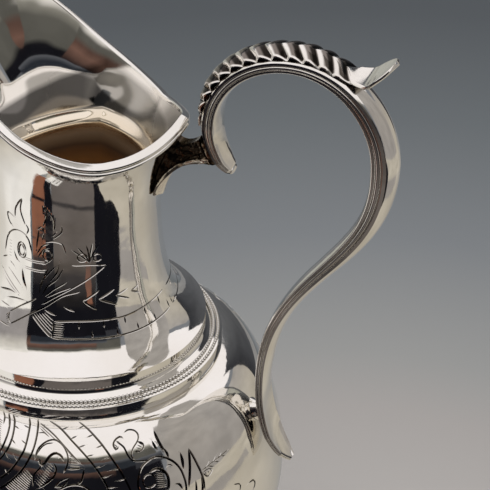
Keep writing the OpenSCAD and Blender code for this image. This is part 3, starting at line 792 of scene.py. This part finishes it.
def add_engraved(name, node, point, s_grid, t_grid, cuts, rings, inner):
    """A shell whose outer skin is engraved; rings give the rest, inner the rows of it that are inside."""
    points, faces, normals, depth = engraved_skin(point, s_grid, t_grid, cuts)
    n, m, _ = rings.shape
    all_points = np.vstack([points, rings.reshape(-1, 3)])
    all_depth = np.concatenate([depth, np.zeros(n * m)])
    no_normals = np.zeros((4, 3))
    parts = [(face, corners, 0) for face, corners in zip(faces, normals)]
    for k, face in enumerate(grid_faces(n, m, True, False, len(points))):
        parts.append((face[::-1], no_normals, int(inner[0] <= k % (m - 1) <= inner[1])))
    first, index = merged(all_points, 3)
    polygons, corner_normals, inside = [], [], []
    for face, corners, is_inside in parts:
        ring = merged_face(face, index)
        if len(ring) > 2:
            polygons.append(ring)
            corner_normals += [tuple(normal) for normal in corners[:len(ring)]]
            inside.append(is_inside)
    mesh = bpy.data.meshes.new(name)
    mesh.from_pydata((all_points[first] * MM).tolist(), [], polygons)
    mesh.polygons.foreach_set("material_index", inside)
    grime_and_shade = mesh.attributes.new("grime_and_shade_mask", "FLOAT", "POINT")
    grime_and_shade.data.foreach_set("value", np.minimum(all_depth[first] / full_cut, 1).astype(np.float32))
    dress(name, node, [body_silver, inside_silver], mesh)
    mesh.normals_split_custom_set(corner_normals)


neck_ref_r = 17.0
neck_row = 0.7
neck_rows = flare_steps + upper_steps
neck_mirror = -10.4


def neck_point(s, t):
    """Outer surface of the neck: s is the way round, t the way up from the lip."""
    angle = np.asarray(s) / neck_ref_r
    row = np.clip(np.asarray(t) / neck_row, 0, neck_rows)
    lower = curve(*flare_curve, np.clip(row / flare_steps, 0, 1))
    wrapped = (np.degrees(angle) + 180) % 360 - 180
    upper = neck_upper(wrapped, np.clip((row - flare_steps) / upper_steps, 0, 1))
    return turned(np.where((row <= flare_steps)[:, None], lower, upper), angle)


waist_fill = 1.8
fill_rise = (z_waist - 14, z_waist - 1)
fill_fall = (z_waist - 1, z_waist + 17)
ledge_t = 0.8
ledge_z = (110.7, 113.6)


def make_neck():
    rings = []
    for angle in neck_angles:
        out = neck_outside(angle, 3 * upper_steps)
        z = out[:, 1]
        level = z + ledge_sag * np.abs(out[:, 0] * math.cos(math.radians(angle)))
        fill = waist_fill * (1 - smooth_step(z, *fill_fall))
        fill += ledge_t * (1 - smooth_step(level, *ledge_z))
        inner = aside(out, sheet_t + fill * smooth_step(z, *fill_rise))
        section = np.vstack([out[-1:], out[-1:] - sheet_t * band_out, inner[1:-1][::-1],
                             [[lip_r - lip_seat_w, z_lip], [lip_r, z_lip]], out[:1]])
        rings.append(turned(section, math.radians(angle)))
    s_grid = np.radians(np.append(neck_angles, 180.0)) * neck_ref_r
    t_grid = neck_row * np.arange(neck_rows + 1)
    cuts = set_round(neck_drawing(), math.pi * neck_ref_r, 1, neck_mirror)
    inner_rows = (1, len(section) - 4)
    add_engraved("neck_shell", "neck", neck_point, s_grid, t_grid, cuts, np.array(rings), inner_rows)


globe_ref_r = 34.0
engraved_depth = 30.0
globe_angles = np.linspace(-180, 180, 217)
globe_rows = belly_steps + shoulder_steps
globe_mirror = -6.2


def globe_point(s, t):
    """Outer surface of the globe: s is the way round, -t the way down from the seam."""
    row = globe_rows - np.interp(-np.asarray(t), way_down, np.arange(globe_rows + 1))
    lower = curve(*belly_curve, np.clip(row / belly_steps, 0, 1))
    upper = curve(*shoulder_curve, np.clip((row - belly_steps) / shoulder_steps, 0, 1))
    return turned(np.where((row <= belly_steps)[:, None], lower, upper), np.asarray(s) / globe_ref_r)


def make_globe():
    s_grid = np.radians(globe_angles) * globe_ref_r
    t_grid = -np.linspace(engraved_depth, 0, 46)
    edge = globe_point(np.zeros(1), t_grid[:1])[0]
    below = globe_outside[globe_outside[:, 1] < edge[2] - 0.2]
    inside = aside(globe_outside, sheet_t)[1:-1]
    section = np.vstack([[[seam_r, z_seam], [seam_r - sheet_t, z_seam]], inside[::-1],
                         [[0, z_globe + sheet_t], [0, z_globe]], below, [edge[[0, 2]]]])
    rings = np.array([turned(section, angle) for angle in np.radians(globe_angles[:-1])])
    cuts = set_round(globe_drawing(), math.pi * globe_ref_r, -1, globe_mirror)
    add_engraved("globe_shell", "globe", globe_point, s_grid, t_grid, cuts, rings, (1, len(inside) + 1))


def make_rim():
    corner = 0.38
    band = np.vstack([[[0, -band_t]], arc((-corner, -corner), corner, 0, 90, 5),
                      arc((corner - band_w, -corner), corner, 90, 180, 5), [[-band_w, -band_t]]])
    band = band @ np.array([band_out, band_up])
    reed_mid = (reed_r + seat - band_lap) * band_out - (reed_r + seat + band_t) * band_up
    reed = arc(reed_mid, reed_r, 0, 337.5, 15)
    edges = list(zip(rim_edge(neck_angles), np.radians(neck_angles)))
    for name, node, section in (("rim_band_strip", "rim_band", band), ("rim_reed_wire", "rim_reed", reed)):
        rings = [turned(edge + section, angle) for edge, angle in edges]
        add_piece(name, node, "trim_silver", trim_silver, *loft(rings, True))


# Handle

outer_fall = 2.1
low_rise = 6.2
pad_sink = 0.4
end_grow = np.array([0.3, -1.2])
tip_grow = np.array([-0.4, -1.4])
quarter = 0.55
fine = 4
hook = np.array([rim_radii[0] + hook_gap, z_lip + rim_heights[0]])
crest = hook + [loop_w / 2, loop_rise]
outer = hook + [loop_w, -outer_fall]
end_z = pad_z - end_drop
low_point = np.array([globe_r_at(pad_z) + pad_t + 0.44 * low_t - pad_sink, pad_z + low_rise])
tail = np.array([globe_r_at(end_z) + end_reach, end_z]) + end_grow
tip = hook + [tip_reach, -tip_drop] + tip_grow
drop = outer[1] - low_point[1]
crest_pull = np.array([quarter * loop_w / 2, 0])
handle_line = joined(
    bezier([tip, tip + [-0.49 * tip_reach, 0.15 * tip_drop], hook - [0, 0.44 * tip_drop], hook], 6 * fine),
    bezier([hook, hook + [0, quarter * loop_rise], crest - crest_pull, crest], 12 * fine),
    bezier([crest, crest + crest_pull, outer + [0, quarter * (crest[1] - outer[1])], outer], 12 * fine),
    bezier([outer, outer - [0, 0.435 * drop], low_point + [0, 0.525 * drop], low_point], 20 * fine),
    bezier([low_point, low_point - [0, 8.0], tail + [-0.6 * end_reach, 0.2 * end_drop], tail], 10 * fine))
handle_n = len(handle_line) // fine
handle_step = np.arange(len(handle_line)) / fine
handle_t = np.interp(handle_step, [0, 3, 6, 18, 30, 40, 50, handle_n - 3, handle_n],
                     [1.4, 0.8 * hook_t, hook_t, hook_t, loop_t, sweep_t, low_t, 0.8 * low_t, 0.9])
handle_half = handle_half_w * np.interp(handle_step, [0, 2, 6, 30, 50, handle_n - 5, handle_n - 2, handle_n],
                                        [0.45, 0.8, 1, 1, 0.85, 0.95, 0.7, 0.3])
side_share = 0.26
crown_share = 0.3
belly_share = 0.18
handle_normal = left(along(handle_line))
crown_line = handle_line + ((side_share + crown_share) * handle_t + seat)[:, None] * handle_normal


def handle_side(t, w):
    """Reeded side from the outer edge to the inner one: fillet, groove, reed, groove, thin fillet."""
    q = np.linspace(1, -1, 41)
    groove_w = 0.07
    cuts = sum(np.exp(-((q - groove) / groove_w) ** 2) for groove in (0.28, -0.52))
    reed = 0.5 * np.clip(1 - ((q + 0.12) / 0.36) ** 2, 0, 1) ** 0.5
    depth = 0.34 * min(1, w / 2)
    return np.stack([side_share * t * q, -(w - depth * np.clip(cuts + 0.35 - 0.7 * reed, 0, 1.2))], 1)


def crown_height(y, rise, half):
    """Height of the handle's outer crown, a shallow arc that meets the sides at a sharp edge."""
    radius = (half ** 2 + rise ** 2) / (2 * rise)
    return np.sqrt(radius ** 2 - np.minimum(np.abs(y), half) ** 2) - radius + rise


def make_handle():
    rings = []
    sweep = np.radians(np.linspace(0, 180, 33))
    for i, point in enumerate(handle_line):
        t = handle_t[i]
        side = handle_side(t, handle_half[i])
        far_side = side[::-1] * [1, -1]
        outer_edge, inner_edge = -side[[0, -1], 1]
        scoop = 1 - 1.5 * smooth_step(handle_step[i], handle_n - 12, handle_n - 7)
        crown = scoop * crown_height(outer_edge * np.cos(sweep), crown_share * t, outer_edge)
        outer_face = np.stack([side_share * t + crown, outer_edge * np.cos(sweep)], 1)
        belly = (side_share + belly_share * np.sin(sweep)) * t
        inner_face = np.stack([-belly, -inner_edge * np.cos(sweep)], 1)
        section = np.vstack([part[:-1] for part in (outer_face, side, inner_face, far_side)])
        rings.append(place(section, point, handle_normal[i]))
    points, faces = loft(rounded_end(rings[::-1], 0.7)[::-1])
    add_piece("scroll_handle", "handle", "handle_silver", handle_silver, points, faces, 40)


def rounded_end(rings, reach):
    """Closes the last ring of a loft with a dome that stays within reach of it."""
    last = rings[-1]
    centre = last.mean(0)
    onward = centre - rings[-3].mean(0)
    onward /= np.linalg.norm(onward)
    dome = []
    for angle in np.radians(np.linspace(0, 84, 7)):
        dome.append(centre + (last - centre) * math.cos(angle) + onward * reach * (math.sin(angle) - 1))
    return rings[:-3] + dome


# Thumb leaf, bracket and pad

leaf_from, leaf_free = 6 * fine, 21 * fine
leaf_lobes = 13
leaf_slant = 0.62
lobe_lean = 0.66
furrow_mid = 0.22
furrow_edge = 0.85
lobe_notch = 0.05
leaf_lip = 0.26
leaf_inset = 0.25
leaf_least = 0.14
leaf_edge = 0.12
spoon_depth = 0.12
spoon_t = 1.35
spoon_wall = 0.8
spoon_edge = 0.16
spoon_swell = 0.42
lobed_share = 0.28
spoon_run = [[(0, 0), (0.22, -0.107), (0.45, -0.165), (0.64, -0.155)],
             [(0.64, -0.155), (0.76, -0.149), (0.84, -0.05), (0.93, 0.02)],
             [(0.93, 0.02), (1.04, 0.105), (1.16, 0.21), (1.26, 0.30)]]


def make_leaf():
    """Leaf of arched lobes with slanting furrows, its smooth tip wide and turned up like a spoon."""
    seat_line = crown_line[leaf_from:leaf_free + 1]
    tip_run = joined(*[bezier(seat_line[-1] + leaf_tip_l * np.array(part), 36) for part in spoon_run])
    refine = 5
    dense = np.linspace(0, len(seat_line) - 1, (len(seat_line) - 1) * refine + 1)
    on_seat = np.stack([np.interp(dense, np.arange(len(seat_line)), seat_line[:, k]) for k in (0, 1)], 1)
    line = joined(on_seat, tip_run)
    count = len(on_seat) - 1
    way = way_along(line)
    free = np.clip((way - way[count]) / (way[-1] - way[count]), 0, 1)
    s = way / (way[count] + lobed_share * (way[-1] - way[count]))
    rise = leaf_t * np.interp(s, [0, 0.2, 0.76, 1], [0.3, 1, 1.05, 0.75])
    half = leaf_half_w * np.interp(s, [0, 0.2, 1], [0.55, 1, 1])
    half *= (1 + spoon_swell * smooth_step(free, 0.25, 0.62)) * np.sqrt(1 - np.minimum(free, 0.999) ** 5)
    at_step = np.interp(np.arange(len(line)), [0, count], [leaf_from, leaf_free]) / fine
    hold = np.interp(at_step, handle_step, handle_half)
    sag = crown_share * np.interp(at_step, handle_step, handle_t)
    across = np.linspace(-1, 1, 61)
    out = np.abs(across)
    face_normal = left(along(line))
    rings, furrows = [], []
    for j, point in enumerate(line):
        gap = np.min(np.linalg.norm(crown_line - point, axis=1)) if j > count else 0.0
        phase = leaf_lobes * s[j] + leaf_slant * (1 - out)
        lobed = (1 - smooth_step(phase, leaf_lobes + 0.04, leaf_lobes + 0.2)) * smooth_step(s[j], 0.0, 0.06)
        part = phase % 1
        arch = np.sin(math.pi * part ** lobe_lean) ** 0.9
        lift = smooth_step(free[j], 0.0, 0.4)
        width = half[j] * (1 - lobe_notch * lobed[0] * (1 - arch[0]))
        inset = min(leaf_inset + 0.1 * lift, 0.3 * width)
        y = width * across
        on_crown = crown_height(y, sag[j], hold[j]) - sag[j]
        bowl = -spoon_depth * (1 - out ** 2) * (1 - free[j] ** 2)
        plate = min(spoon_t * (1 - 0.35 * free[j]), gap) * (1 - (1 - spoon_wall) * out ** 2)
        under = (1 - lift) * on_crown + lift * bowl - plate
        fall = lobed * (furrow_mid + furrow_edge * out) * (1 - arch) * (1 - 0.55 * lift) * rise[j] / leaf_t
        top = (1 - lift) * (rise[j] * (1 - 0.15 * out ** 2) + on_crown) + lift * bowl - fall
        top = np.maximum(top, under + leaf_least)
        top -= (1 - lift) * leaf_edge * np.clip((out - 0.9) / 0.1, 0, 1) ** 2
        top -= lift * spoon_edge * np.clip((out - 0.86) / 0.14, 0, 1) ** 2
        lip = min(leaf_lip, 0.6 * (top[0] - under[0]))
        wall_foot = np.array([0.6 * under[-1] + 0.4 * top[-1], width - 0.04])
        recess_top = np.array([top[-1] - lip - hair, width - inset])
        edge = np.array([[top[-1] - lip, width], (1 - lift) * recess_top + lift * wall_foot])
        base = np.stack([under[::-1], (width - inset) * across[::-1]], 1)
        ring = np.vstack([np.stack([top, y], 1), edge, base, edge[::-1] * [1, -1]])
        rings.append(place(ring, point, face_normal[j]))
        # dull is painted shade, on the leaf's tarnish: each lobe darkens from its bright near flank to a dark
        # far flank and furrow, and the polished edge stays light.
        dull = lobed * (0.5 * smooth_step(part, 0.25, 0.4) + 0.5 * smooth_step(part, 0.55, 0.72))
        dull = np.maximum(dull, lobed * (1 - part / 0.07)) * (1 - smooth_step(out, 0.86, 0.95))
        # Painted shadow: the leaf's side wall and underside are darkened, and so is the spoon's wall near its
        # root.
        shade = 0.8 * (1 - smooth_step(free[j], 0.3, 0.6)) if free[j] > 0 else 0
        under_shade = max(lobed[0] * (1 - lift), shade)
        furrows.append(np.concatenate([dull, [0, under_shade], np.full(len(base), under_shade), [under_shade, 0]]))
    points, faces = loft(rings)
    points[:, 2] = np.minimum(points[:, 2], high("thumb_leaf")[2])
    leaf = add_piece("thumb_leaf_cast", "thumb_leaf", "handle_silver", leaf_silver, points, faces, 38)
    mark_grime_and_shade(leaf, points, np.concatenate(furrows))


border_bevel = 0.6
panel_depth = 0.8
panel_rough = 0.35


def make_bracket():
    """Cast bracket: an arched web with a raised border and a hollowed, rough panel on each side."""
    back = neck_outside(0.0)
    top_z = hook[1] - bracket_below
    zs = np.linspace(top_z - bracket_h, top_z, 40)
    neck_face = np.stack([np.interp(zs, back[:, 1], back[:, 0]) + seat, zs], 1)
    hook_face = crown_line[2 * fine:5 * fine + 1]
    foot_right = neck_face[0] + [1.6, 0]
    arch = bezier([foot_right, neck_face[0] + [3.2, 7],
                   hook_face[0] - [4.5, -0.6], hook_face[0] - [1, 0]], 60)
    neck_top, hook_top = neck_face[-1], hook_face[-1]
    saddle = bezier([neck_top, neck_top + [0.6, -2.2], hook_top - [0.6, 2.2], hook_top], 40)
    n, m = 64, 40
    bottom, top = spaced(arch, n), spaced(saddle, n)
    start = spaced(np.vstack([[foot_right], neck_face]), m)
    end = spaced(np.vstack([[arch[-1]], hook_face]), m)
    u = np.linspace(0, 1, n)[:, None, None]
    v = np.linspace(0, 1, m)[None, :, None]
    web = ((1 - v) * bottom[:, None] + v * top[:, None] + (1 - u) * start[None] + u * end[None]
           - (1 - u) * (1 - v) * bottom[0] - u * (1 - v) * bottom[-1]
           - (1 - u) * v * top[0] - u * v * top[-1])
    reach = (web[:, :, 0] - neck_r) / (hook[0] + loop_t - neck_r)
    width = bracket_half_w * (1 - 0.3 * np.sin(math.pi * np.clip(reach, 0, 1)))
    border_w = np.interp(u[:, :, 0], [0, 0.3, 0.6, 1], [1.5, 1.5, 0.9, 0.6])
    from_arch = np.linalg.norm(web - bottom[:, None], axis=2) / border_w
    to_hook = np.linalg.norm(web - end[None], axis=2)
    reeds = sum(np.exp(-((to_hook - line) / 0.16) ** 2) for line in (0.35, 1.0))
    sunk = smooth_step(from_arch, 0.85, 1.2) * (1 - 0.8 * np.minimum(reeds, 1))
    rough = [noise.fractal(Vector((x / 2, z / 2, 4)), 0.9, 2.0, 4) for x, z in web.reshape(-1, 2)]
    rough = np.reshape(rough, (n, m))
    width -= border_bevel * bracket_half_w * np.clip(1 - from_arch, 0, 1)
    width -= sunk * (panel_depth + panel_rough * rough)
    sides = [np.stack([web[:, :, 0], sign * width, web[:, :, 1]], 2) for sign in (-1, 1)]
    points = np.reshape(sides, (-1, 3))
    faces = grid_faces(n, m) + grid_faces(n, m, first=n * m)
    number = np.arange(n * m).reshape(n, m)
    ring = [*number[:, 0], *number[-1, 1:], *number[-2::-1, -1], *number[0, -2:0:-1]]
    for a, b in zip(ring, ring[1:] + ring[:1]):
        faces.append([a, b, b + n * m, a + n * m])
    bracket = add_piece("hook_bracket", "handle_bracket", "bracket_silver", bracket_silver, points, faces, 50)
    # The sunk panel is darkened: tarnish in the hollow together with painted shade.
    mark_grime_and_shade(bracket, points, np.tile(sunk.ravel(), 2))


def make_pad():
    half_w, half_h = (pad_high - pad_low)[1:] / 2
    rings = []
    for share, grow in ((0.0, 1.0), (0.15, 0.94), (0.5, 0.82), (0.85, 0.9), (1.0, 0.97)):
        ring = []
        for angle in np.linspace(0, 2 * math.pi, 32, endpoint=False):
            y = half_w * grow * math.cos(angle)
            z = pad_z + half_h * grow * math.sin(angle)
            inner_x = math.sqrt(globe_r_at(z) ** 2 - y ** 2) + seat
            near = np.argmin(np.abs(handle_line[50 * fine:, 1] - z)) + 50 * fine
            outer_x = handle_line[near, 0] - 0.4 * handle_t[near]
            ring.append([inner_x + share * (outer_x - inner_x), y, z])
        rings.append(ring)
    add_piece("lower_pad", "handle_pad", "handle_silver", handle_silver, *loft(rings), 50)


for make in (make_foot, make_collars, make_bead_rows, make_globe, make_neck, make_rim, make_handle, make_leaf,
             make_bracket, make_pad):
    make()


# Stage: floor, lights and reflector cards

view_azimuth = math.radians(20)
view_elevation = math.radians(32.5)
view_roll = math.radians(-0.5)
view_distance = 600.0
photo_side_px = 490
focal_px = 3120.0
axis_mark_px = (80.0, 331.4)
axis_mark_z = 72.0
sensor_mm = 36.0


def make_camera():
    back = np.array([math.sin(view_azimuth) * math.cos(view_elevation),
                     -math.cos(view_azimuth) * math.cos(view_elevation), math.sin(view_elevation)])
    right = np.array([math.cos(view_azimuth), math.sin(view_azimuth), 0])
    up = np.cross(back, right)
    cos_roll, sin_roll = math.cos(view_roll), math.sin(view_roll)
    right, up = cos_roll * right + sin_roll * up, cos_roll * up - sin_roll * right
    per_px = view_distance / focal_px
    across = (axis_mark_px[0] - photo_side_px / 2) * per_px
    upward = (photo_side_px / 2 - axis_mark_px[1]) * per_px
    origin = np.array([0, 0, axis_mark_z]) + view_distance * back - across * right - upward * up
    data = bpy.data.cameras.new("photo_camera")
    data.sensor_width = sensor_mm
    data.lens = sensor_mm * focal_px / photo_side_px
    data.clip_start = 0.01
    data.clip_end = 20
    camera = new_object("photo_camera", data)
    axes = Matrix([right, up, back]).transposed()
    camera.matrix_world = Matrix.Translation(Vector(origin) * MM) @ axes.to_4x4()
    bpy.context.scene.camera = camera


def card_direction(angle_deg):
    """Level direction at an angle from the camera's side, positive to the camera's right."""
    a = view_azimuth + math.radians(angle_deg)
    return np.array([math.sin(a), -math.cos(a), 0])


pool_shift_m = 0.045
floor_r_m = 4.0


def make_floor():
    finish = Finish("floor_paper_painted_pool")
    away = finish.add("VectorMath", "Value", {0: finish.coords()}, operation="LENGTH")
    # The floor is painted lighter near the jug and darker farther out: a painted pool of light, its centre
    # moved aside by pool_shift_m.
    tones = [(0.12, (0.59, 0.58, 0.555)), (0.19, (0.51, 0.50, 0.48)), (0.245, (0.415, 0.43, 0.42)),
             (0.37, (0.27, 0.295, 0.31)), (0.515, (0.18, 0.205, 0.217)), (0.66, (0.12, 0.137, 0.148)),
             (1.0, (0.09, 0.098, 0.113))]
    colour = finish.ramp(finish.span(away, 0.0, 0.40), tones)
    finish.feed(finish.shader, {"Roughness": 0.9, "Specular IOR Level": 0.1, "Base Color": colour})
    sides = 96
    ring = arc((0, 0), floor_r_m, 0, 360, sides)[:-1]
    mesh = bpy.data.meshes.new("floor")
    mesh.from_pydata([(x, y, 0) for x, y in ring], [], [list(range(sides))])
    mesh.materials.append(finish.material)
    floor = new_object("floor", mesh)
    floor.location = Vector(card_direction(90)) * pool_shift_m


def add_softbox(name, centre_m, size_m, radiance, tone):
    """A large soft lamp that faces the jug; radiance 1 shows as white in the silver."""
    data = bpy.data.lights.new(name, "AREA")
    data.shape = "ELLIPSE"
    data.size, data.size_y = size_m
    data.energy = radiance * math.pi * math.pi / 4 * size_m[0] * size_m[1]
    data.color = tone
    lamp = new_object(name, data)
    lamp.location = centre_m
    aim = Vector((0, 0, aim_z * MM)) - Vector(centre_m)
    lamp.rotation_euler = aim.to_track_quat("-Z", "Y").to_euler()
    lamp.visible_camera = False


card_r = 400.0
screen_r = 170.0
aim_z = 80.0
mat_lift = 0.4
black = (0.008, 0.008, 0.011)
brown = (0.27, 0.115, 0.07)
dark_brown = (0.10, 0.058, 0.046)
warm_grey = (0.15, 0.13, 0.12)
cream = (0.52, 0.475, 0.40)
mid_grey = (0.36, 0.335, 0.315)
light_grey = (0.40, 0.375, 0.355)
white = (0.93, 0.90, 0.86)
slate = (0.12, 0.125, 0.14)
charcoal = (0.035, 0.036, 0.042)
navy = (0.024, 0.028, 0.036)
rust = (0.17, 0.095, 0.073)
pale = (0.66, 0.63, 0.59)
glare = (1.02, 0.98, 0.96)
fade_grey = (0.31, 0.305, 0.30)
silver_grey = (0.47, 0.47, 0.43)
lilac = (0.34, 0.32, 0.32)
dim = (0.02, 0.018, 0.018)
dark_grey = (0.05, 0.045, 0.045)
dull_brown = (0.10, 0.085, 0.075)
dull_grey = (0.25, 0.24, 0.21)
olive = (0.10, 0.097, 0.086)
storm_grey = (0.165, 0.17, 0.18)


def card_material():
    """Matt card under its own soft light: the card's tone, a little uneven."""
    finish = Finish("reflector_card")
    finish.tree.nodes.remove(finish.shader)
    tone = finish.add("Attribute", "Color", {}, attribute_name="tone")
    strength = finish.span(finish.noise(11.0, 2.0), 0.3, 0.7, 0.8, 1.05)
    glow = finish.add("Emission", "Emission", {"Color": tone, "Strength": strength})
    finish.feed(finish.tree.nodes["Material Output"], {"Surface": glow})
    return finish.material


card_finish = card_material()


def add_card(name, rows):
    """A card seen only in reflections: rows of radius, height, two end angles and a tone or one per end."""
    across = np.linspace(0, 1, 25)
    points, tones = [], []
    for radius, height, start_deg, end_deg, *ends in rows:
        for share in across:
            points.append(radius * card_direction(start_deg + share * (end_deg - start_deg)) + [0, 0, height])
            tones.append((*((1 - share) * np.array(ends[0]) + share * np.array(ends[-1])), 1.0))
    mesh = bpy.data.meshes.new(name)
    mesh.from_pydata((np.array(points) * MM).tolist(), [], grid_faces(len(rows), len(across)))
    colours = mesh.attributes.new("tone", "FLOAT_COLOR", "POINT")
    colours.data.foreach_set("color", np.array(tones, np.float32).ravel())
    mesh.materials.append(card_finish)
    card = new_object(name, mesh)
    card.visible_camera = False
    card.visible_shadow = False
    card.visible_diffuse = False


def add_mat(name, edges, *tones, lift=mat_lift):
    """A card on the floor; edges give a radius and the two angles there, and a tone if tones has none."""
    add_card(name, [(radius, lift, start, end, *(tones or own)) for radius, start, end, *own in edges])


def add_wall(name, start_deg, end_deg, rows, radius=card_r):
    """An upright card; rows give a height and a tone, or one for each end."""
    add_card(name, [(radius, height, start_deg, end_deg, *tones) for height, *tones in rows])


def make_lights():
    add_softbox("top_softbox", (0, 0, 0.75), (2.5, 2.5), 0.76, (1.0, 0.93, 0.905))
    add_mat("left_white_mat", [(45, -88, -56), (150, -88, -56), (400, -88, -54)], white)
    add_mat("left_cream_mat", [(45, -130, -88), (400, -130, -88)], cream, white)
    add_wall("left_wall", -130, -54, [(mat_lift, lilac), (150, lilac), (235, pale), (360, white)])
    add_mat("brown_mat", [(78, -62, -47, brown), (100, -60, -43, brown), (136, -54, -36, brown),
                          (138, -54, -36, black), (146, -54, -36, black), (148, -54, -36, brown),
                          (182, -53, -35, brown)])
    add_mat("left_dark_mat", [(60, -56, -46, cream), (78, -47, -46, cream), (78.5, -47, -38, black),
                              (100, -43, -34, black), (137, -36, -27, black), (182, -35, -25, black),
                              (182.5, -53, -25, dark_grey), (230, -52, -25, black), (400, -54, -22, black)])
    add_mat("white_patch", [(62, -46, -26), (84, -46, -27)], white)
    add_mat("front_grey_mat", [
        (45, -38, 30, warm_grey), (78, -38, 29, warm_grey), (132, -28, 28, warm_grey),
        (138, -27, 28, dark_grey), (144, -27, 28, dark_grey), (152, -26, 28, warm_grey),
        (174, -25, 27, warm_grey), (196, -25, 27, dull_brown), (220, -25, 26, dark_grey),
        (290, -24, 24, dim), (400, -22, 22, black)])
    add_mat("brown_strip", [(196, 14, 20, rust), (330, 14, 20, brown)], lift=2 * mat_lift)
    add_wall("front_foot", -54, 46, [(mat_lift, black), (105, black)])
    add_wall("front_wall", -54, 20, [
        (105, black), (150, black), (185, dark_brown), (225, rust), (263, dark_brown), (290, olive),
        (308, olive), (325, pale), (340, glare)])
    add_wall("front_right_wall", 20, 46, [
        (105, black), (185, black), (205, olive), (285, olive), (315, dull_grey), (330, pale), (345, glare)])
    add_wall("front_screen", -48, 30, [(110, navy), (126, navy), (137, slate)], screen_r)
    add_wall("pale_screen", 30, 46, [(98, charcoal), (112, charcoal), (125, slate)], screen_r)
    add_mat("right_black_mat", [(45, 30, 37), (77, 29, 40), (120, 28, 44), (155, 28, 58), (175, 27, 61),
                                (258, 26, 54), (400, 22, 45)], black)
    add_mat("right_cream_mat", [(45, 37, 100), (77, 40, 100), (120, 44, 98), (155, 58, 98), (174, 61, 98),
                                (200, 95, 98)], cream)
    add_mat("right_fade_mat", [(45, 100, 140), (120, 98, 140), (228, 98, 140)], cream, fade_grey)
    add_mat("right_grey_mat", [(170, 60, 62), (200, 58, 98), (228, 56, 98)], mid_grey)
    add_mat("right_far_mat", [(228, 56, 112), (300, 52, 116), (400, 45, 116)], cream)
    add_mat("right_gap_mat", [(228, 112, 140), (300, 116, 135), (400, 116, 128)], cream, fade_grey)
    add_card("right_wall", [(card_r, mat_lift, 46, 103, mid_grey), (card_r, 359, 53, 103, light_grey),
                            (360, 468, 59, 114, light_grey), (310, 495, 65, 129, light_grey),
                            (260, 518, 78, 140, light_grey), (210, 540, 100, 120, light_grey)])
    add_wall("right_back_wall", 103, 130, [(mat_lift, cream), (241.61, light_grey)])
    add_mat("back_mat", [(228, 140, 230), (400, 128, 230)], fade_grey, slate)
    add_wall("back_wall", 130, 183, [(mat_lift, charcoal, storm_grey), (340, charcoal, storm_grey)])
    add_wall("back_left_wall", 183, 230, [(mat_lift, silver_grey), (275.093, silver_grey)])
    world = bpy.data.worlds.new("studio")
    world.use_nodes = True
    backdrop = world.node_tree.nodes["Background"]
    backdrop.inputs["Color"].default_value = (0.20, 0.21, 0.23, 1)
    backdrop.inputs["Strength"].default_value = 1.0
    bpy.context.scene.world = world


make_camera()
make_floor()
make_lights()
bpy.context.scene.view_settings.view_transform = "Standard"
